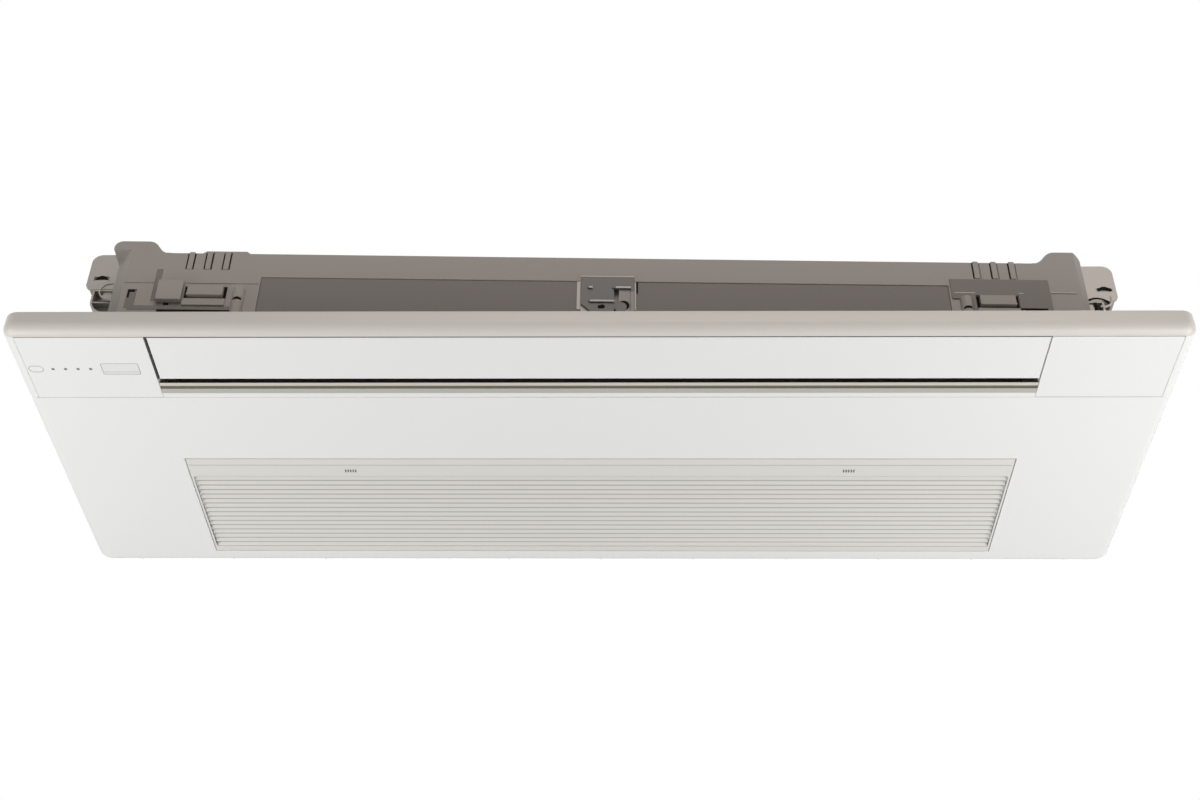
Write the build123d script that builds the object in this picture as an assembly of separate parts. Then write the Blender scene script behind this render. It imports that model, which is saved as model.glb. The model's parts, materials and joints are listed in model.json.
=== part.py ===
"""One-way ceiling cassette air conditioner: a casing hung above the ceiling, with a panel below it.

Millimetres, +Z up. X runs along the unit, left to right as the room sees the outlet side. The outlet
lies towards -Y and the intake grille towards +Y. The origin is the centre of the four hanger slots,
in the plane of the underside of the hanger plates.
"""

import os
from math import cos, pi, radians, sin, sqrt, tan

from build123d import *

# ---------------------------------------------------------------- overall sizes
panel_width = 1200.0
panel_depth = 424.0
panel_thickness = 24.5
panel_overhang = 88.0  # of the panel beyond each end plate of the casing
casing_depth = 360.0
casing_height = 175.0  # above the ceiling line
hang_height = 105.0  # ceiling line to the underside of the hanger plates
casing_yaw = 1.17  # degrees that the front moulding stands out of parallel with the panel

# ---------------------------------------------------------------- walls and clearances
moulding = 2.5  # wall of a plastic moulding
sheet = 1.2  # sheet steel
fit = 0.3  # round a piece that is set in another
swing_gap = 1.0  # round a piece that swings
bearing_gap = 0.05  # radial, round a shaft in its bush
bite = 1.0  # how far a cut runs past a surface, and a joined shape into its neighbour
plate_lift = 0.5  # ceiling line to the underside of the casing

# ---------------------------------------------------------------- panel frame
corner_radius = 15.0
bezel_radius = 11.0
bezel_width = 12.0  # panel edge to the front strip
top_round = 1.5
panel_skin = 3.0
strip_depth = 97.0  # front strip: side covers, vane and outlet
outlet_depth = 87.5
cover_length = 132.0  # of each side cover along the unit
outlet_lip = 6.5  # height of the frame's wall round the outlet
rib_step = 110.0
rib_wall = 1.8
cover_wall = 3.0
cover_round = 1.0
skin_over_cover = 2.0
wall_drop = 4.0  # the walls round the intake end this far below the ceiling line
seam_width = 0.6
seam_depth = 0.5
well_gap = 1.0  # round a screw head in its well
well_wall = 2.0
tab_half_depth = 9.0
tab_margin = 2.0  # round a screw head on its tab

# ---------------------------------------------------------------- intake grille and filters
grille_margin = 1.0  # of the intake past each end of the outlet
grille_near = 5.0
grille_far = 188.5
grille_height = 12.0
grille_skin = 2.5
grille_rim = 2.5
push_band = 33.0  # plain band along the near edge
band_line = 11.0  # shallow line along the push band, from its near edge
far_band = 10.0
slat_count = 16
slat_thickness = 1.6
slat_depth = 8.5
slat_lean = 38.0  # degrees from level
slat_lift = 0.4  # lower edge of a slat above the face
cross_rib_count = 11
cross_rib_wall = 1.4
cross_rib_lift = 4.0
hinge_inset = 14.0  # pin axis to the grille's far edge
hinge_lift = 4.5
hinge_radius = 1.8
hinge_reach = 3.0  # of the pin into the frame
filter_inset = 21.0  # from each end of the intake
filter_gap = 1.0  # each side of the middle
filter_hinge_gap = 3.0
filter_border = 6.0
filter_bar_count = 5
filter_bar = 2.0
filter_thickness = 2.4
mesh_thickness = 0.6
mesh_inset = 1.0
mesh_lift = 0.8
mark_width = 1.4
mark_length = 5.0
mark_step = 2.8
mark_count = 5
mark_depth = 0.4
latch_inset = 181.0  # from each end of the intake
latch_y = 28.0
latch_width = 26.0
latch_height = 8.0
latch_back = 9.0
latch_floor = 1.6
latch_roof = 1.2
latch_gap = 2.5  # grille rim to latch housing
plunger_radius = 3.0
plunger_flange = 5.0
plunger_reach = 2.0  # of its tip below the housing
flange_gap = 0.2
flange_height = 1.6
striker_gap = 0.1  # between a plunger and the post that pushes it

# ---------------------------------------------------------------- display in the left cover
display_y = -150.0
lamp_inset = 39.5  # first lamp from the left end of the panel
lamp_step = 13.0
lamp_count = 4
lamp_radius = 1.1
lamp_collar = 1.0
collar_height = 1.2
button_inset = 22.0  # from the left end of the panel
button_length = 14.5
button_depth = 9.0
button_travel = 1.2
button_flange = 1.2
button_rim = 1.0
stem_length = 2.0
switch_rim = 0.6
button_stem = 2.0
spring_radius = 4.2
spring_wire = 0.5
spring_turns = 3.0
window_inset = 109.6  # from the left end of the panel
window_length = 38.0
window_depth = 16.5
window_flange = 1.0
board_end_gap = 12.0  # from the outlet
board_depth = 34.0
board_thickness = 1.6
board_lift = 9.0
board_rail = 4.0

# ---------------------------------------------------------------- vane
vane_depth = 65.0
vane_thickness = 4.6
vane_round = 1.5
vane_left_gap = 3.0
vane_right_gap = 1.2
vane_axis_y = -150.0
vane_axis_lift = 13.5  # above the face
vane_pin = 4.0  # radius
vane_arm = 4.0
vane_arm_foot = 12.0
vane_arm_head = 5.0
vane_arm_root = 2.0  # above the face
vane_hub = 6.0
bush_wall = 1.5
bush_reach = 4.5
bush_rim = 0.8
bush_tail = 2.0
bush_flange = 2.8
vane_motor_radius = 8.0
vane_motor_length = 15.0
vane_shaft_radius = 2.5
vane_shaft_reach = 8.0
cup_wall = 1.6
ear_thickness = 2.0
ear_reach = 15.0
ear_half_width = 3.0

# ---------------------------------------------------------------- outlet frame
outlet_step = 0.8  # gap between the panel's lip and the outlet frame
outlet_band = 5.1
outlet_wall = 2.5
duct_near = -160.0
duct_far = -95.0

# ---------------------------------------------------------------- fan and the walls round it
fan_y = -38.0
fan_lift = 108.0
fan_radius = 47.0
fan_end_gap = 18.0  # from each inner wall
fan_blades = 26
blade_chord = 11.0
blade_thickness = 1.2
blade_lean = 28.0
fan_rings = 7
ring_wall = 2.5
hub_radius = 12.0
hub_length = 14.0
hub_proud = 2.0
axle_radius = 4.0
axle_tail = 4.0
axle_in_motor = 20.0
machine_bay = 64.0  # inner wall to end plate
partition_front = 13.0
partition_roof_gap = 4.0
partition_slope_gap = 7.0
scroll_start = 50.0
scroll_end = 156.0
scroll_gap_start = 8.0
scroll_gap_end = 22.0
scroll_wall = 5.0
scroll_steps = 6
scroll_bend = 30.0
tongue_gap = 5.0
tongue_start = 236.0  # degrees round the fan
tongue_end = 251.0
tongue_flare = 0.8
tongue_foot = 24.0
pan_shoulder = 30.0
intake_opening_near = 58.0
intake_opening_far = 172.0
intake_opening_inset = 8.0  # from each inner wall
plate_corner = 24.0
plate_front = 16.5
plate_step = 12.0
motor_radius = 42.0
motor_length = 46.0
motor_flange = 6.0
motor_round = 8.0
motor_neck = 16.0
foot_thickness = 3.0
foot_reach = 44.0
foot_half_width = 8.0
strut_reach = 36.0
strut_half_width = 6.0
bearing_radius = 14.0
bearing_length = 12.0
bearing_neck = 10.0
neck_proud = 2.0

# ---------------------------------------------------------------- coil and drain
coil_length = 165.0
coil_thickness = 38.0
coil_end_gap = 23.0  # from each inner wall
coil_angle = 37.5
coil_foot_y = 22.0
coil_foot_lift = 52.0
end_fin = 1.5
fin_wall = 0.5
fin_step = 25.0
fin_collar = 0.6  # wall of the collars that space the fins along each tube
coil_rows = 2
coil_tubes_per_row = 8
coil_tube = 3.5
tube_overhang = 4.0
pan_near = 8.0
pan_far = 56.0
pan_height = 26.0
pan_rib = 8.0
drain_lift = 18.0
drain_radius = 13.0
drain_bore = 10.0
drain_overhang = 60.0  # beyond the end plate
spigot_collar = 4.0
collar_width = 3.0

# ---------------------------------------------------------------- pipes, wiring and electronics
gas_overhang = 48.0  # of each union beyond the end plate
liquid_overhang = 33.0
gas_pipe = 4.76
gas_thread = 7.95
liquid_pipe = 3.175
liquid_thread = 5.55
pipe_wall = 0.9
pipe_plug = 2.0  # closed end of a pipe where it meets the coil
union_length = 16.0
nut_length = 14.0
nut_wall = 3.2
nut_bore_gap = 0.05
box_near = 30.0
box_far = 164.0
box_low = 12.0
box_high = 96.0
box_gap = 4.0  # inner wall to control box
box_wall = 1.6
hook_inset = 10.0
hook_low = 20.0  # below the top of the box
hook_high = 8.0
lid_lip = 4.0
lid_foot_inset = 8.0
board_standoff = 6.0
board_foot = 7.0
board_margin = 6.0
standoff_inset = 10.0
standoff_size = 6.0
relay_inset = 16.0
relay_length = 30.0
relay_proud = 20.0
relay_lift = 8.0
relay_height = 26.0
capacitor_radius = 6.0
capacitor_proud = 24.0
capacitor_first = 60.0
capacitor_step = 16.0
capacitor_count = 4
capacitor_lift = 46.0
gland_y = 62.0
gland_lift = 56.0
gland_radius = 9.0
gland_bore = 5.0
gland_length = 18.0
gland_tube_wall = 1.5
gland_nut_wall = 3.0
gland_nut_length = 6.0

# ---------------------------------------------------------------- louvers
louver_y = -128.0
louver_low = 16.0
louver_high = 50.0
louver_depth = 36.0
louver_thickness = 1.6
louver_first = 50.0
louver_end_gap = 83.0  # last louver to the inner wall
louver_count = 4
louver_pin = 2.0
louver_foot = 4.0
louver_round = 5.0
foot_bite = 3.0
louver_pin_proud = 1.5
crank_reach = 12.0
crank_pin = 1.5
crank_wall = 0.8
crank_start = 3.0
crank_end_wall = 1.2
rail_low = 11.0
rail_high = 14.0
rail_half_depth = 5.0
link_width = 7.0
link_low = 10.5
link_high = 13.0
stepper_radius = 8.0
stepper_height = 14.0
stepper_lift = 113.0
stepper_shaft_bite = 12.0
stepper_shaft_reach = 8.0
socket_wall = 1.0
socket_bite = 14.0
socket_reach = 4.0

# ---------------------------------------------------------------- front moulding
wall_top = 102.4  # above the ceiling line, like the other heights here
tower_top = 119.0
tower_proud = 1.0  # beyond the end plate
tower_widths = (60.5, 54.0)  # left, right
tower_flat_widths = (35.5, 27.0)
tower_depth = 42.0
tower_round = 9.0
corner_cuts = ((19.0, 26.0), (8.0, 6.0))  # along and across the unit, for each tower
corner_cut_tops = (107.0, 125.0)
raised_start = -419.0  # stretch of the wall's edge that stands higher, along the unit
raised_end = -366.0
raised_height = 3.2
raised_slant = 5.0
slope_run = 80.0
slope_rise = 70.0
shelf = 8.0
slope_room = 96.0  # depth over which the turned slope clears the end plates
shoulder_cut = 9.0
seam_height = 59.5
seam_cut = 0.8
seam_half = 0.5
left_seam = (19.0, 159.0)  # these four from the casing's ends
right_seam = (43.0, 12.0)
recess_left_inset = 160.4
recess_right_inset = 145.0
recess_top = 69.5
recess_depth = 4.0
foam_thickness = 3.0
glue_line = 0.05  # under a foam strip
rib_insets = (102.4, 93.9)  # middle rib from the casing's end, left and right
rib_pitch = 19.0
rib_width = 5.6
rib_height = 23.0
rib_rise = 1.2  # over the wall's edge
rib_proud = 0.8
rib_groove_width = 1.4
rib_groove_depth = 1.5
clip_insets = (105.5, 96.1)  # from the casing's end, left and right
clip_width = 37.0
clip_low = 39.6
clip_high = 53.5
clip_proud = 3.5
clip_slot = 3.5
clip_gap_low = 2.5
clip_gap_high = 1.5
catch_back = 2.0
catch_margin = 3.0
catch_foot = 5.0
catch_head = 4.0
grip_proud = 1.5
grip_height = 2.5
ledge_low = 28.0
ledge_proud = 2.0
boss_insets = (140.7, 128.9)  # from the casing's end, left and right
boss_out = 0.5
boss_radius = 6.3
boss_top = 50.0
boss_step = 32.5
boss_hole_width = 9.0
boss_hole_height = 3.0
boss_hole_floor = 2.0
box_inset = 56.5  # left box from the casing's end
box_length = 26.0
box_bottom = 32.2
box_proud = 6.0
slot_width = 6.2
slot_top = 78.7
slot_bottom = 34.0
slot_cut_depth = 1.6
notch_inset = 24.4  # from the casing's left end
notch_width = 9.5
notch_top = 50.4
notch_bottom = 24.0
notch_depth = 1.6
bracket_x = 11.0
bracket_width = 55.5
bracket_top = 75.0
bracket_bevel = 9.0
bevel_low = 27.0
bevel_high = 36.0
bracket_border = 3.0
bracket_notch = 17.0
bracket_notch_inset = 4.0  # from the right edge
bracket_ledge_high = 57.0
bracket_ledge_low = 38.0
bracket_ledge = 2.0
bracket_ledge_proud = 1.5
ledge_start = 8.0  # these from the left edge
ledge_length = 25.0
stub_start = 7.0
stub_length = 4.0
bracket_hole_x = 20.0
bracket_hole_z = 32.0
bracket_hole = 2.4
bracket_wall = 2.0
patch_inset = 143.0  # from the casing's right end
patch_length = 103.0
patch_thickness = 1.4
patch_top = 77.5
patch_low = 30.0

# ---------------------------------------------------------------- hangers and end skirts
hanger_reaches = (39.0, 46.5)  # beyond the end plates, left and right
hanger_plate = 3.0
flange_drop = 4.0
rim_height = 12.0
shelf_gap = 6.0
hanger_top = 139.0
hanger_lip = 88.5
hanger_inner = 80.0
hanger_round = 11.0
lip_round = 7.0
slot_out = 20.0  # from the end plate
slot_y = 100.0
slot_radius = 6.0
slot_length = 26.0
crescent_places = (24.0, 33.5)  # from the end plates, left and right
crescent_length = 17.0
crescent_height = 5.0
crescent_lift = 104.5
crescent_depth = 1.5
skirt_reach = 30.0
skirt_low = 54.0
skirt_high = 88.0
skirt_round = 18.0
skirt_depth = 44.0
skirt_wall = 2.2
skirt_setback = 10.0
skirt_ledge = 70.0
skirt_top_round = 4.0
skirt_ledge_setback = 1.5
post_x = 14.0  # from the end plate
post_setback = 2.0
post_drop = 9.0
post_half_width = 5.5
post_half_height = 8.5
square_x = 4.0
square_drop = 9.0
square_step = 9.0
square_half_width = 1.5
square_half_height = 2.0

# ---------------------------------------------------------------- screws
screw_radius = 2.0
screw_head = 4.0
screw_head_height = 2.4
screw_hole_gap = 0.1
screw_tip = 3.0
top_screw_tip = 6.0
hanger_screw_inset = 10.0
hanger_screw_step = 26.0
hanger_screw_lift = 8.0
top_screw_inset = 7.0
top_screw_step = 82.0
top_screw_first = -70.0
top_screw_count = 3
strip_screw_inset = 26.0  # from the end of the outlet
strip_screw_y = -118.0
tab_screw_inset = 5.0  # from the end of the intake
tab_screw_y = 70.0
end_flange = 14.0
end_flange_gap = 2.0
rear_flange = 15.0
roof_lap = 3.0

# ---------------------------------------------------------------- worked out from the sizes above
ceiling = -hang_height
face = ceiling - panel_thickness
panel_half = panel_width / 2
near_edge = -panel_depth / 2
strip_near = near_edge + bezel_width
strip_far = strip_near + strip_depth
outlet_far = strip_near + outlet_depth
cover_end = panel_half - bezel_width
outlet_half = cover_end - cover_length
grille_half = outlet_half + grille_margin
filter_half = grille_half - filter_inset
latch_x = grille_half - latch_inset
lamp_first_x = lamp_inset - panel_half
button_x = button_inset - panel_half
window_x = window_inset - panel_half
board_left = -cover_end
board_right = -outlet_half - board_end_gap
strip_screw_x = outlet_half + strip_screw_inset
tab_screw_x = grille_half - tab_screw_inset
casing_near = -casing_depth / 2
casing_far = casing_depth / 2
casing_end = panel_half - panel_overhang
partition_x = casing_end - machine_bay
fan_half = partition_x - fan_end_gap
coil_half = partition_x - coil_end_gap
intake_opening_half = partition_x - intake_opening_inset
box_x = partition_x + box_gap
louver_step = (partition_x - louver_end_gap - louver_first) / (louver_count - 1)
gas_reach = casing_end + gas_overhang
liquid_reach = casing_end + liquid_overhang
drain_reach = casing_end + drain_overhang
slot_x = casing_end + slot_out
tower_outer = casing_end + tower_proud
tower_inners = [tower_outer - width for width in tower_widths]
tower_flats = [tower_outer - width for width in tower_flat_widths]
recess_left = recess_left_inset - casing_end
recess_right = casing_end - recess_right_inset
rib_places = (rib_insets[0] - casing_end, casing_end - rib_insets[1])
clip_places = (clip_insets[0] - casing_end, casing_end - clip_insets[1])
boss_places = (boss_insets[0] - casing_end, casing_end - boss_insets[1])
box_left = box_inset - casing_end
box_right = box_left + box_length
notch_left = notch_inset - casing_end
notch_right = notch_left + notch_width
patch_left = casing_end - patch_inset
patch_right = patch_left + patch_length
casing_base = ceiling + plate_lift
base_top = casing_base + sheet
casing_top = ceiling + casing_height
roof_under = casing_top - sheet
hanger_front = -casing_near - tower_depth - 2 * fit
hinge_y = grille_far - swing_gap - hinge_inset
hinge_z = face + hinge_lift
vane_axis_z = face + vane_axis_lift
fan_z = ceiling + fan_lift
latch_low = face + grille_height + latch_gap
spring_low = face + cover_wall + fit + button_flange


def over_face(height):
    """A level counted from the panel's underside."""
    return face + height


def over_ceiling(height):
    """A level counted from the ceiling line."""
    return ceiling + height


def yaw_shift(x):
    """How far back the front moulding stands at this place along the unit."""
    return x * tan(radians(casing_yaw))


# ---------------------------------------------------------------- shape helpers
def block(x0, x1, y0, y1, z0, z1):
    """A box between two corners."""
    centre = Pos((x0 + x1) / 2, (y0 + y1) / 2, (z0 + z1) / 2)
    return centre * Box(abs(x1 - x0), abs(y1 - y0), abs(z1 - z0))


def along_x(points, x0, x1):
    """An outline of (y, z) points, extruded along X."""
    return extrude(Plane.YZ.offset(x0) * make_face(Polyline(*points, close=True)), amount=x1 - x0)


def along_y(face_xz, y0, y1):
    """A face drawn with x and z on the XZ plane, extruded along +Y."""
    return extrude(Pos(0, y0, 0) * face_xz, amount=y1 - y0, dir=(0, 1, 0))


def along_z(points, z0, z1):
    """An outline of (x, y) points, extruded along Z."""
    return extrude(Plane.XY.offset(z0) * make_face(Polyline(*points, close=True)), amount=z1 - z0)


def rod_x(radius, x0, x1, y, z):
    """A round bar along X."""
    return Pos((x0 + x1) / 2, y, z) * Rot(0, 90, 0) * Cylinder(radius, abs(x1 - x0))


def rod_y(radius, y0, y1, x, z):
    """A round bar along Y."""
    return Pos(x, (y0 + y1) / 2, z) * Rot(90, 0, 0) * Cylinder(radius, abs(y1 - y0))


def rod_z(radius, z0, z1, x, y):
    """A round bar along Z."""
    return Pos(x, y, (z0 + z1) / 2) * Cylinder(radius, abs(z1 - z0))


def slot_z(length, radius, z0, z1, x, y):
    """A round-ended bar along Z whose section is a slot along X."""
    return extrude(Plane.XY.offset(z0) * Pos(x, y) * SlotOverall(length, 2 * radius), amount=z1 - z0)


def rounded_plate(width, depth, radius, z0, z1):
    """A plate centred on the Z axis, with round corners in plan."""
    return extrude(Plane.XY.offset(z0) * RectangleRounded(width, depth, radius), amount=z1 - z0)


def group(pieces):
    """Several separate solids as one node."""
    return Compound(children=[solid for piece in pieces for solid in piece.solids()])


def yawed(shape):
    """Turns a shape of the front moulding about the middle of its face."""
    return Pos(0, casing_near, 0) * Rot(0, 0, casing_yaw) * Pos(0, -casing_near, 0) * shape


# ---------------------------------------------------------------- panel
def strip_well(side):
    """The screw well behind a side cover: its boss, and what is bored out of it."""
    x = side * strip_screw_x
    top = ceiling - fit
    boss = rod_z(screw_head + well_gap + well_wall, over_face(cover_wall), top, x, strip_screw_y)
    well = rod_z(screw_head + well_gap, face - bite, over_face(panel_thickness / 2), x, strip_screw_y)
    hole = rod_z(screw_radius + screw_hole_gap, face, ceiling + bite, x, strip_screw_y)
    return boss, well + hole


def tab(side):
    """A screw tab that reaches into the intake opening above the grille."""
    outer = side * (grille_half + moulding)
    inner = side * (tab_screw_x - screw_head - tab_margin)
    low = ceiling - wall_drop - panel_skin
    plate = block(inner, outer, tab_screw_y - tab_half_depth, tab_screw_y + tab_half_depth, low,
                  ceiling - wall_drop)
    hole = rod_z(screw_radius + screw_hole_gap, low - bite, ceiling, side * tab_screw_x, tab_screw_y)
    return plate - hole


def panel_frame():
    plate = rounded_plate(panel_width, panel_depth, corner_radius, face, ceiling)
    plate = fillet(plate.edges().group_by(Axis.Z)[0], bezel_radius)
    plate = fillet(plate.edges().group_by(Axis.Z)[-1], top_round)
    inset = bezel_width - moulding
    low = rounded_plate(panel_width - 2 * inset, panel_depth - 2 * inset, corner_radius / 2,
                        over_face(panel_skin), over_face(bezel_radius))
    high = rounded_plate(panel_width - 2 * moulding, panel_depth - 2 * moulding,
                         corner_radius - moulding, over_face(bezel_radius), ceiling + bite)
    plate = plate - low - high
    rib_top = ceiling - wall_drop
    rib_reach = panel_depth / 2 - moulding / 2
    rib_near = duct_far + outlet_wall + fit
    rib_count = int(panel_half / rib_step)
    ribs = [block(i * rib_step - rib_wall / 2, i * rib_step + rib_wall / 2, rib_near, rib_reach,
                  over_face(panel_skin), rib_top) for i in range(-rib_count, rib_count + 1)]
    outlet_ring = block(-outlet_half - moulding, outlet_half + moulding, strip_near - moulding,
                        outlet_far + moulding, over_face(bite), over_face(outlet_lip))
    intake_ring = block(-grille_half - moulding, grille_half + moulding, grille_near - moulding,
                        grille_far + moulding, over_face(bite), rib_top)
    plate = plate + ribs + outlet_ring + intake_ring
    board = (display_y - board_depth / 2, display_y + board_depth / 2)
    for side in (-1, 1):
        skin_x = (side * (outlet_half - moulding), side * (cover_end + moulding))
        plate += block(*skin_x, strip_near - moulding, strip_far + moulding, over_face(bite),
                       over_face(cover_wall + skin_over_cover))
        boss, bore = strip_well(side)
        plate = plate + boss - bore
        plate -= block(side * outlet_half, side * cover_end, strip_near, strip_far, face - bite,
                       over_face(cover_wall))
    for y in board:
        rail = (max(y - board_rail / 2, strip_near), y + board_rail / 2)
        plate += block(board_left, board_right, *rail, over_face(cover_wall), over_face(board_lift))
    plate -= block(board_left + bite, board_right - bite, board[0] + board_rail / 2,
                   board[1] - board_rail / 2, face, over_face(board_lift))
    plate -= block(-outlet_half, outlet_half, strip_near, outlet_far, face - bite, ceiling + bite)
    plate -= block(-grille_half, grille_half, grille_near, grille_far, face - bite, ceiling + bite)
    pin_reach = grille_half + hinge_reach
    plate -= rod_x(hinge_radius + bearing_gap, -pin_reach, pin_reach, hinge_y, hinge_z)
    for side in (-1, 1):
        plate += tab(side)
    plate -= block(-panel_width, panel_width, strip_far - seam_width / 2, strip_far + seam_width / 2,
                   face - bite, over_face(seam_depth))
    return plate


def side_cover(side):
    inner = side * (outlet_half + fit)
    outer = side * (cover_end - fit)
    y0 = strip_near + 2 * fit
    y1 = strip_far - fit
    cover = block(inner, outer, y0, y1, face, over_face(cover_wall))
    upright = cover.edges().filter_by(Axis.Z).sort_by(Axis.X)
    cover = fillet(upright[:2] if side < 0 else upright[-2:], cover_round)
    if side < 0:
        cover -= slot_z(button_length + fit, (button_depth + fit) / 2, face - bite,
                        over_face(cover_wall + bite), button_x, display_y)
        for i in range(lamp_count):
            cover -= rod_z(lamp_radius + bearing_gap, face - bite, over_face(cover_wall + bite),
                           lamp_first_x + i * lamp_step, display_y)
        half = (window_length + fit) / 2
        cover -= block(window_x - half, window_x + half, display_y - (window_depth + fit) / 2,
                       display_y + (window_depth + fit) / 2, face - bite, over_face(cover_wall + bite))
    return cover


def receiver_window():
    half = window_length / 2
    pane = block(window_x - half, window_x + half, display_y - window_depth / 2,
                 display_y + window_depth / 2, face, over_face(cover_wall))
    half += window_flange
    half_depth = window_depth / 2 + window_flange
    flange = block(window_x - half, window_x + half, display_y - half_depth, display_y + half_depth,
                   over_face(cover_wall), over_face(cover_wall + window_flange))
    return pane + flange


def indicator_lenses():
    lenses = []
    for i in range(lamp_count):
        x = lamp_first_x + i * lamp_step
        light_pipe = rod_z(lamp_radius, face, over_face(board_lift), x, display_y)
        collar = rod_z(lamp_radius + lamp_collar, over_face(cover_wall),
                       over_face(cover_wall + collar_height), x, display_y)
        lenses.append(light_pipe + collar)
    return group(lenses)


def display_board():
    y0 = display_y - board_depth / 2
    y1 = display_y + board_depth / 2
    board = block(board_left, board_right, y0, y1, over_face(board_lift),
                  over_face(board_lift + board_thickness))
    switch_low = spring_low + stem_length + button_travel + fit
    switch = rod_z(button_stem + switch_rim, switch_low, over_face(board_lift), button_x, display_y)
    return board + switch


def emergency_button():
    cap = slot_z(button_length - fit, (button_depth - fit) / 2, face, spring_low - button_flange,
                 button_x, display_y)
    flange = slot_z(button_length + 2 * button_rim, button_depth / 2 + button_rim,
                    spring_low - button_flange, spring_low, button_x, display_y)
    stem = rod_z(button_stem, spring_low, spring_low + stem_length, button_x, display_y)
    return cap + flange + stem


def button_spring():
    height = over_face(board_lift) - spring_low - 2 * spring_wire
    coil = Helix(pitch=height / spring_turns, height=height, radius=spring_radius)
    wire = Plane(origin=coil @ 0, z_dir=coil % 0) * Circle(spring_wire / 2)
    return Pos(button_x, display_y, spring_low + spring_wire) * sweep(wire, path=coil)


def outlet_frame():
    low = over_face(outlet_lip + outlet_step)
    shelf_low = low + outlet_band - outlet_wall
    top = ceiling - fit
    near = strip_near - outlet_wall
    far = outlet_far + outlet_step
    end = outlet_half + fit
    outer = end + outlet_wall
    back = duct_far + outlet_wall
    body = block(-outer, outer, near, back, low, top)
    body -= block(-end, end, near + outlet_wall, far, low - bite, top - outlet_wall)
    body -= block(-end, end, far - bite, duct_far, low + outlet_band, top - outlet_wall)
    body -= block(-outer - bite, outer + bite, far + outlet_wall, back + bite, low - bite, shelf_low)
    body -= block(-end, end, duct_near, duct_far, low, top + bite)
    pin_hole = vane_pin + bearing_gap + bush_wall
    return body - rod_x(pin_hole, -outer - bite, outer + bite, vane_axis_y, vane_axis_z)


def vane():
    left = -outlet_half + vane_left_gap
    right = outlet_half - vane_right_gap
    y0 = strip_near + swing_gap
    y1 = y0 + vane_depth
    blade = block(left, right, y0, y1, face, over_face(vane_thickness))
    blade = fillet(blade.edges().filter_by(Axis.X).group_by(Axis.Z)[-1], vane_round)
    root = over_face(vane_arm_root)
    arm_points = [(vane_axis_y - vane_arm_foot, root), (vane_axis_y - vane_arm_head, vane_axis_z),
                  (vane_axis_y + vane_arm_head, vane_axis_z), (vane_axis_y + vane_arm_foot, root)]
    for x0, x1 in ((left, left + vane_arm), (right - vane_arm, right)):
        blade += along_x(arm_points, x0, x1)
        blade += rod_x(vane_hub, x0, x1, vane_axis_y, vane_axis_z)
    pin_end = outlet_half + fit + outlet_wall + bush_reach - swing_gap
    blade += rod_x(vane_pin, -pin_end, left + bite, vane_axis_y, vane_axis_z)
    blade += rod_x(vane_pin, right - bite, pin_end, vane_axis_y, vane_axis_z)
    shaft_end = outlet_half + fit + outlet_wall + bush_reach + vane_shaft_reach
    return blade + rod_x(vane_shaft_radius, right, shaft_end, vane_axis_y, vane_axis_z)


def vane_bushes():
    wall_in = outlet_half + fit
    wall_out = wall_in + outlet_wall
    bushes = []
    for side in (-1, 1):
        inner = side * (wall_in - bush_rim)
        bush = rod_x(vane_pin + bearing_gap + bush_wall, inner, side * (wall_out + bush_tail), vane_axis_y,
                     vane_axis_z)
        bush += rod_x(vane_pin + bush_flange, inner, side * wall_in, vane_axis_y, vane_axis_z)
        bushes.append(bush - rod_x(vane_pin + bearing_gap, -panel_half, panel_half, vane_axis_y,
                                   vane_axis_z))
    return group(bushes)


def vane_motor():
    seat = outlet_half + fit + outlet_wall
    cup = seat + bush_reach
    end = seat + vane_motor_length + bush_reach
    motor = rod_x(vane_motor_radius, seat, end, vane_axis_y, vane_axis_z)
    motor -= rod_x(vane_motor_radius - cup_wall, seat - bite, cup, vane_axis_y, vane_axis_z)
    ears = block(seat, seat + ear_thickness, vane_axis_y - ear_reach, vane_axis_y + ear_reach,
                 vane_axis_z - ear_half_width, vane_axis_z + ear_half_width)
    ears -= rod_x(vane_motor_radius - cup_wall, seat - bite, seat + ear_thickness + bite, vane_axis_y,
                  vane_axis_z)
    bore = rod_x(vane_shaft_radius + bearing_gap, seat, cup + vane_shaft_reach + bite, vane_axis_y,
                 vane_axis_z)
    return motor + ears - bore


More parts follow.
